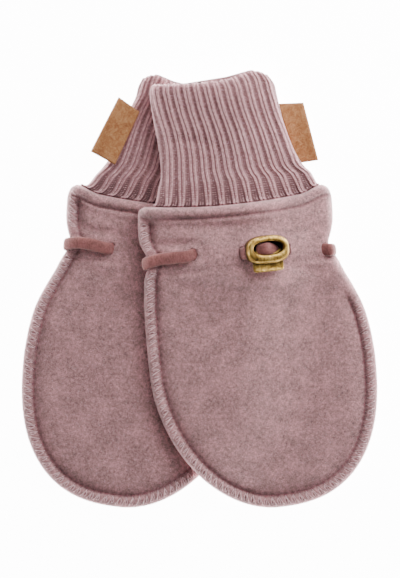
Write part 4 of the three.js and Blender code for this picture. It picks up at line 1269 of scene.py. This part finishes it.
def wale_frames(mitten, share, across):
    """Place, direction along the wale, across it and outwards, at many spots on the cuff."""
    step = 0.004
    slide = rib_slide(share, step)
    here = mitten.place(*cuff_outside(mitten, share, across))
    ahead = mitten.place(*cuff_outside(mitten, np.minimum(1, share + step), across + slide))
    behind = mitten.place(*cuff_outside(mitten, np.maximum(0, share - step), across - slide))
    beside = mitten.place(*cuff_outside(mitten, share, np.minimum(0.9999, across + step), ribbed=0.6))
    other = mitten.place(*cuff_outside(mitten, share, np.maximum(0.0001, across - step), ribbed=0.6))
    along = ahead - behind
    along /= np.linalg.norm(along, axis=1)[:, None]
    across_way = beside - other
    across_way /= np.linalg.norm(across_way, axis=1)[:, None]
    outward = np.cross(across_way, along)
    outward /= np.linalg.norm(outward, axis=1)[:, None]
    outward = np.where(outward[:, 2:3] < 0, -outward, outward)
    return here, along, across_way, outward


def rib_slide(share, step):
    return (read(RIB_SHIFT, share + step) - read(RIB_SHIFT, share)) / RIBS


def wale_spots(phases):
    """Share and across of every stitch on the wales at these phases of each rib."""
    share = (np.arange(COURSES) + 0.6) / (COURSES + 0.6)
    found = []
    for rib in range(-1, int(RIBS) + 2):
        for phase in phases:
            from_rib = (phase - 0.5) * opened(share) if phase in WALES else phase - 0.5
            across = (rib + 0.5 + from_rib + read(RIB_SHIFT, share)) / RIBS
            keep = (across > 0.004) & (across < 0.996)
            found.append(np.stack([share[keep], across[keep]], -1))
    return np.concatenate(found).T


def stitch_tints_and_shade(random, mitten, count):
    """A tint for each point of each grain. On the turned mitten the tints are lowered: painted shade from the
    upper cuff, which lies over it.
    """
    # Painted shade: the lower cuff's stitch tints are drawn lower
    tints = np.clip(random.normal(0.5 - 0.13 * mitten.turned, 0.26, count), 0, 1)
    return np.repeat(tints, GRAIN_POINTS)


def knit(mitten, seed):
    random = np.random.default_rng(seed)
    share, across = wale_spots(WALES)
    here, along, side, outward = wale_frames(mitten, share, across)
    points, faces, tints = [], [], []
    for half in (-1, 1):
        tilt = along * 0.82 + side * half * 0.57
        middle = here + side * half * 0.22 * MM + outward * 0.04 * MM
        middle = middle + random.normal(0, 0.03 * MM, middle.shape)
        new_points, new_faces = grains(
            middle, tilt, np.cross(tilt, outward), outward, 0.36 * MM, 0.15 * MM, 0.2 * MM
        )
        tints.append(stitch_tints_and_shade(random, mitten, len(middle)))
        offset = sum(len(part) for part in points)
        faces += [[corner + offset for corner in face] for face in new_faces]
        points.append(new_points)
    values = {"tint": np.concatenate(tints)}
    piece = make_mesh(f"{mitten.name}_knit_stitches", np.concatenate(points), faces, KNIT_YARN, values)
    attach(piece, "root")
    return piece


def purl(mitten, seed):
    random = np.random.default_rng(seed)
    share, across = wale_spots(PURL_WALES)
    here, along, side, outward = wale_frames(mitten, share, across)
    middle = here + outward * 0.08 * MM + random.normal(0, 0.03 * MM, here.shape)
    points, faces = grains(middle, side, along, outward, 0.36 * MM, 0.12 * MM, 0.16 * MM)
    tint = stitch_tints_and_shade(random, mitten, len(middle))
    piece = make_mesh(f"{mitten.name}_purl_stitches", points, faces, SHADED_PURL_YARN, {"tint": tint})
    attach(piece, "root")
    return piece


for seed, mitten in enumerate(PAIR):
    ground = cuff_ground(mitten)
    stitches = [knit(mitten, 60 + seed), purl(mitten, 70 + seed)]
    print(ground.name, "faces:", len(ground.data.polygons), "stitch faces:", len(stitches[0].data.polygons))

# %% [markdown]
# ## Label tabs
# A strip of leather-like washed paper is folded once over its outer edge, and its two ends are
# caught in the cuff's side. It is bare. The fold is a half circle, and both leaves lie close.

# %% Label
def label_material():
    paint = Paint("label_paper", Roughness=0.75, Specular_IOR_Level=0.3)
    mottle = paint.noise(0.55, detail=5, roughness=0.7, distortion=0.8)
    grain = paint.noise(2.6, detail=3, roughness=0.6)
    color = paint.ramp(mottle * 0.6 + grain * 0.4, [
        (0.34, srgb(112, 68, 38)), (0.46, srgb(150, 97, 58)), (0.56, srgb(170, 118, 76)),
        (0.7, srgb(190, 139, 97)),
    ])
    edge = paint.attribute("edge")
    paint.feed(paint.shader.inputs["Base Color"], paint.blend(edge * 0.5, color, srgb(120, 74, 44)))
    paint.bump(grain * 0.6 + mottle * 0.4, 0.12)
    return paint.material


LABEL_MATERIAL = label_material()
LABEL_THICK = 0.42
LABEL_BEND = 0.34
LABEL_REACH = 9
# u and v of each corner, then the height there, from the inner top round to the inner low corner
LABEL = {
    "upper": ((18.6, -37.3, 0.3), (27.9, -36.8, 0.3), (31.2, -14.9, 0.3), (24, -14.6, 0.3)),
    "lower": ((11.7, -34.9, 6.4), (19.6, -39.4, 4.1), (27.7, -18.2, 4.1), (18.7, -14.4, 6.4)),
}


def label_section(steps):
    """The folded strip's middle line: (share across, height) from the top leaf round the fold."""
    radius = LABEL_BEND
    leaf = np.linspace(0, 1, steps)
    bend = np.linspace(math.pi / 2, -math.pi / 2, 9)[1:-1]
    top = np.stack([leaf, np.full(steps, 2 * radius)], -1)
    fold = np.stack([1 + np.cos(bend) * radius / LABEL_REACH, radius + np.sin(bend) * radius], -1)
    low = np.stack([leaf[::-1], np.zeros(steps)], -1)
    return np.concatenate([top, fold, low])


def label_tab(mitten):
    corners = np.array(LABEL[mitten.name])
    inner_top, outer_top, outer_low, inner_low = corners
    section = label_section(14)
    rows = np.linspace(0, 1, 30)
    share = section[:, 0][:, None]
    row = rows[None, :]
    inner = mix(inner_top[:, None, None], inner_low[:, None, None], row)
    outer = mix(outer_top[:, None, None], outer_low[:, None, None], row)
    u, v, height = mix(inner, outer, share)
    curl = 0.5 * np.sin(row * math.pi) * share ** 2 + 0.25 * share ** 3 * (row - 0.3)
    height = height + section[:, 1][:, None] + LABEL_THICK / 2 + curl * (1 if mitten is LOWER else 0.6)
    normal = np.gradient(section, axis=0)
    normal = np.stack([-normal[:, 1], normal[:, 0] * LABEL_REACH], -1)
    normal /= np.linalg.norm(normal, axis=1)[:, None]
    half = LABEL_THICK / 2
    length = np.linalg.norm((outer - inner)[:2], axis=0)
    direction = (outer - inner)[:2] / length
    layers = []
    for sign in (1, -1):
        shift = -normal[:, 0][:, None] * half * sign
        rise = normal[:, 1][:, None] * half * -sign
        layers.append(mitten.place(u + direction[0] * shift, v + direction[1] * shift, height - rise))
    points = np.stack(layers)
    count, columns = u.shape
    size = count * columns
    top = grid_faces(count, columns)
    faces = [top, top[:, ::-1] + size]
    border = np.concatenate([
        np.arange(columns), np.arange(1, count) * columns + columns - 1,
        (count - 1) * columns + np.arange(columns - 1)[::-1], np.arange(1, count - 1)[::-1] * columns,
    ])
    after = np.roll(border, -1)
    faces.append(np.stack([border, after, after + size, border + size], -1))
    edge = np.zeros((2, count, columns))
    edge[:, :, (0, -1)] = 1
    piece = make_mesh(
        f"{mitten.name}_label_tab", points, np.concatenate(faces).tolist(), LABEL_MATERIAL, {"edge": edge}
    )
    weld(piece, 0.001)
    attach(piece, "root")
    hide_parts(f"{mitten.name}_label")
    return piece


labels = [label_tab(mitten) for mitten in PAIR]

# %% [markdown]
# ## The cord lock
# A cast oval housing with a window, and a spring plunger that slides in its side and pinches the
# cord. A casting has no sharp edge, so the housing is a loft: rings blend from the outer oval over
# a rounded rim into the window. The plunger is a rounded slab with a thumb lip.

# %% Brass
def brass_material():
    paint = Paint("antique_brass", Metallic=1.0, Roughness=0.3)
    patina = paint.noise(0.35, detail=4, roughness=0.65, distortion=0.6)
    scratches = paint.noise(1.6, detail=2, roughness=0.6, stretch=(1, 0.25, 1))
    crevice = paint.attribute("crevice")
    tarnish = patina * 0.7 + scratches * 0.3
    metal = paint.ramp(tarnish, [
        (0.36, srgb(84, 62, 28)), (0.5, srgb(152, 120, 60)), (0.64, srgb(208, 174, 102)),
    ])
    # Painted shade: the attribute turns the brass near black where shade falls
    paint.feed(paint.shader.inputs["Base Color"], paint.blend(crevice, metal, srgb(18, 13, 9)))
    paint.feed(paint.shader.inputs["Roughness"], 0.66 - tarnish * 0.36)
    paint.bump(tarnish, 0.08)
    return paint.material


BRASS_MATERIAL = brass_material()
LOCK = {"length": 16.4, "width": 10.6, "power": 2.8}
WINDOW = {"length": 11.6, "width": 4.9, "power": 2.2}
# A face lies inside the window, round the hole that the cord comes up through. It is painted near
# black as shade, except on its lit side towards the plunger
WINDOW_SHIFT = np.array([-0.05, 0.6])
FACE = {"hole_length": 8.4, "hole_width": 4.1, "low": 2.75, "high": 3.3}
PLUNGER = {"length": 11.6, "above": 0.9, "inside": 2.1, "outside": 2.6, "clearance": 0.3}


def lock_place(points):
    """From the lock's own frame, in mm, to where it lies on the upper mitten's front."""
    x, y = to_world(LOCK_SPOT[0], float(row_v(LOCK_SPOT[1], LOCK_SPOT[0])), False)
    spots = np.array([x - 4, x, x + 4])
    base = drape(spots, np.full_like(spots, y))
    tilt = math.atan((base[2] - base[0]) / 8)
    cos, sin = math.cos(tilt), math.sin(tilt)
    turn_y = np.array([[cos, 0, -sin], [0, 1, 0], [sin, 0, cos]])
    cos, sin = math.cos(LEAN), math.sin(LEAN)
    turn_z = np.array([[cos, -sin, 0], [sin, cos, 0], [0, 0, 1]])
    moved = points @ turn_y.T @ turn_z.T
    return (moved + np.array([x, y, base[1] + LOCK_FLOOR])) * MM


def oval(length, width, power, angle):
    x = np.sign(np.cos(angle)) * np.abs(np.cos(angle)) ** (2 / power) * length / 2
    y = np.sign(np.sin(angle)) * np.abs(np.sin(angle)) ** (2 / power) * width / 2
    return np.stack([x, y], -1)


# Share of the way from the outer oval to the window, and height, round the housing's section
HOUSING_SECTION = (
    (0.16, 0), (0.04, 0.35), (0, 1.2), (0, 3.2), (0.05, 4.2), (0.17, 4.95), (0.36, 5.4), (0.6, 5.55),
    (0.82, 5.5), (0.95, 5.2), (1, 4.6), (1, 1), (0.94, 0.25), (0.8, 0),
)
# Painted shade for each ring of the section: near black at the housing's foot and in the window
CREVICE_SHADE = (0.85, 0.8, 0.72, 0.6, 0.35, 0.1, 0, 0, 0, 0, 0.3, 1, 1, 0.8)
RING_STEPS = 96


def at_height(flat, height):
    return np.concatenate([flat, np.full((len(flat), 1), height)], axis=1)


def lock_face(angle):
    """A ring plate in the window: it starts inside the casting and ends round the hole."""
    grown = {"length": WINDOW["length"] + 0.6, "width": WINDOW["width"] + 0.6, "power": WINDOW["power"]}
    outside = oval(**grown, angle=angle) + WINDOW_SHIFT
    hole = oval(FACE["hole_length"], FACE["hole_width"], 2, angle)
    hole[:, 0] *= 1 - 0.32 * smooth(-0.3, 1, np.sin(angle))
    hole += WINDOW_SHIFT + np.array([0.3, -0.1])
    low, high = FACE["low"], FACE["high"]
    rings = ((outside, low), (hole, low), (hole, high), (outside, high))
    return np.array([at_height(flat, height) for flat, height in rings])


def lock_housing():
    angle = np.linspace(0, 2 * math.pi, RING_STEPS, endpoint=False)
    outside = oval(**LOCK, angle=angle)
    window = oval(**WINDOW, angle=angle) + WINDOW_SHIFT
    rings = np.array([at_height(mix(outside, window, share), height) for share, height in HOUSING_SECTION])
    crevice = np.repeat(CREVICE_SHADE, RING_STEPS)
    plate = lock_face(angle)
    faces, first = [], 0
    for loft in (rings, plate):
        faces += grid_faces(len(loft), RING_STEPS, wrap_rows=True, wrap_columns=True, first=first).tolist()
        first += len(loft) * RING_STEPS
    points = np.concatenate([rings.reshape(-1, 3), plate.reshape(-1, 3)])
    # Painted shade on the face: near black except on its lit side, towards the plunger
    lit = smooth(-0.1, -0.6, np.sin(angle))
    rim = np.stack([np.ones(RING_STEPS), 1 - 0.9 * lit, 1 - 0.9 * lit, np.ones(RING_STEPS)])
    values = {"crevice": np.concatenate([crevice, rim.ravel()])}
    piece = make_mesh("lock_case", lock_place(points), faces, BRASS_MATERIAL, values)
    weld(piece, 0.001)
    rounder = piece.modifiers.new("rounder", "SUBSURF")
    rounder.levels = 1
    rounder.render_levels = 1
    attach(piece, "root")
    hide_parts("lock_housing")
    return piece


# Share of the plunger's half width, and height, up round its rounded edge
PLUNGER_SECTION = (
    (0, 0), (0.88, 0), (0.97, 0.2), (1, 0.55), (1, 1.6), (0.97, 1.95), (0.9, 2.1), (0.8, 2.05), (0, 2),
)


def lock_plunger():
    steps = 64
    angle = np.linspace(0, 2 * math.pi, steps, endpoint=False)
    depth = PLUNGER["inside"] + PLUNGER["outside"]
    middle = LOCK["width"] / 2 - PLUNGER["inside"] + depth / 2 + PLUNGER["clearance"] / 2
    rings = []
    for share, height in PLUNGER_SECTION:
        flat = oval(PLUNGER["length"] * max(share, 0.01), depth * max(share, 0.01), 7, angle)
        lip = 0.1 * smooth(0.6, 1, -flat[:, 1:] / (depth / 2)) * (1 if height > 1 else 0)
        rings.append(np.concatenate([flat + np.array([0, -middle]), PLUNGER["above"] + height + lip], axis=1))
    rings = np.array(rings)
    faces = grid_faces(len(rings), steps, wrap_columns=True).tolist()
    from_case = rings[..., 1] + LOCK["width"] / 2
    # Painted shade on the plunger where it goes into the housing
    crevice = smooth(-0.9, 0.1, from_case) * 0.9
    points = lock_place(rings.reshape(-1, 3))
    piece = make_mesh("lock_button", points, faces, BRASS_MATERIAL, {"crevice": crevice})
    weld(piece, 0.2)
    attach(piece, "root")
    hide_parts("lock_plunger")
    return piece


lock_pieces = [lock_housing(), lock_plunger()]
print("lock pieces:", [piece.name for piece in lock_pieces])

# %% [markdown]
# ## Table and light
# A pale matt table and broad soft lights, as for a catalogue picture. A large lamp overhead gives
# most of the light. The key comes from the upper right, so that the upper mitten throws a soft
# shade on the lower one, and a low lamp behind the cuffs brings out their ribs.

# %% Stage
def add_table():
    paint = Paint("table_white", Roughness=0.9)
    paint.shader.inputs["Base Color"].default_value = (0.93, 0.93, 0.93, 1)
    paint.shader.inputs["Emission Color"].default_value = (1, 1, 1, 1)
    paint.shader.inputs["Emission Strength"].default_value = 13.0
    size, below = 3.0, 0.0002
    points = np.array([(x * size, y * size, -below) for x, y in ((-1, -1), (1, -1), (1, 1), (-1, 1))])
    table = make_mesh("table", points, [(0, 1, 2, 3)], paint.material)
    return table


def add_light(name, place, target, size, power):
    data = bpy.data.lights.new(name, "AREA")
    data.shape = "DISK"
    data.size = size
    data.energy = power
    light = bpy.data.objects.new(name, data)
    bpy.context.scene.collection.objects.link(light)
    light.location = place
    light.rotation_euler = (Vector(target) - Vector(place)).to_track_quat("-Z", "Y").to_euler()
    return light


# Name, place, target and size in metres, and power in watts
LIGHTS = (
    ("key", (0.58, 0.58, 0.52), (0.03, 0, 0), 0.66, 12.2),
    ("fill", (-0.7, -0.3, 0.6), (0, 0, 0), 0.8, 0.6),
    ("rim", (0, 0.7, 0.45), (0, 0, 0.01), 0.4, 2.9),
    ("top", (0.3, 0.2, 1.6), (0, 0, 0), 1.6, 6.3),
)

add_table()
for row in LIGHTS:
    add_light(*row)

world = bpy.data.worlds.new("studio")
bpy.context.scene.world = world
world.use_nodes = True
world.node_tree.nodes["Background"].inputs["Color"].default_value = (1, 1, 1, 1)
world.node_tree.nodes["Background"].inputs["Strength"].default_value = 0.12
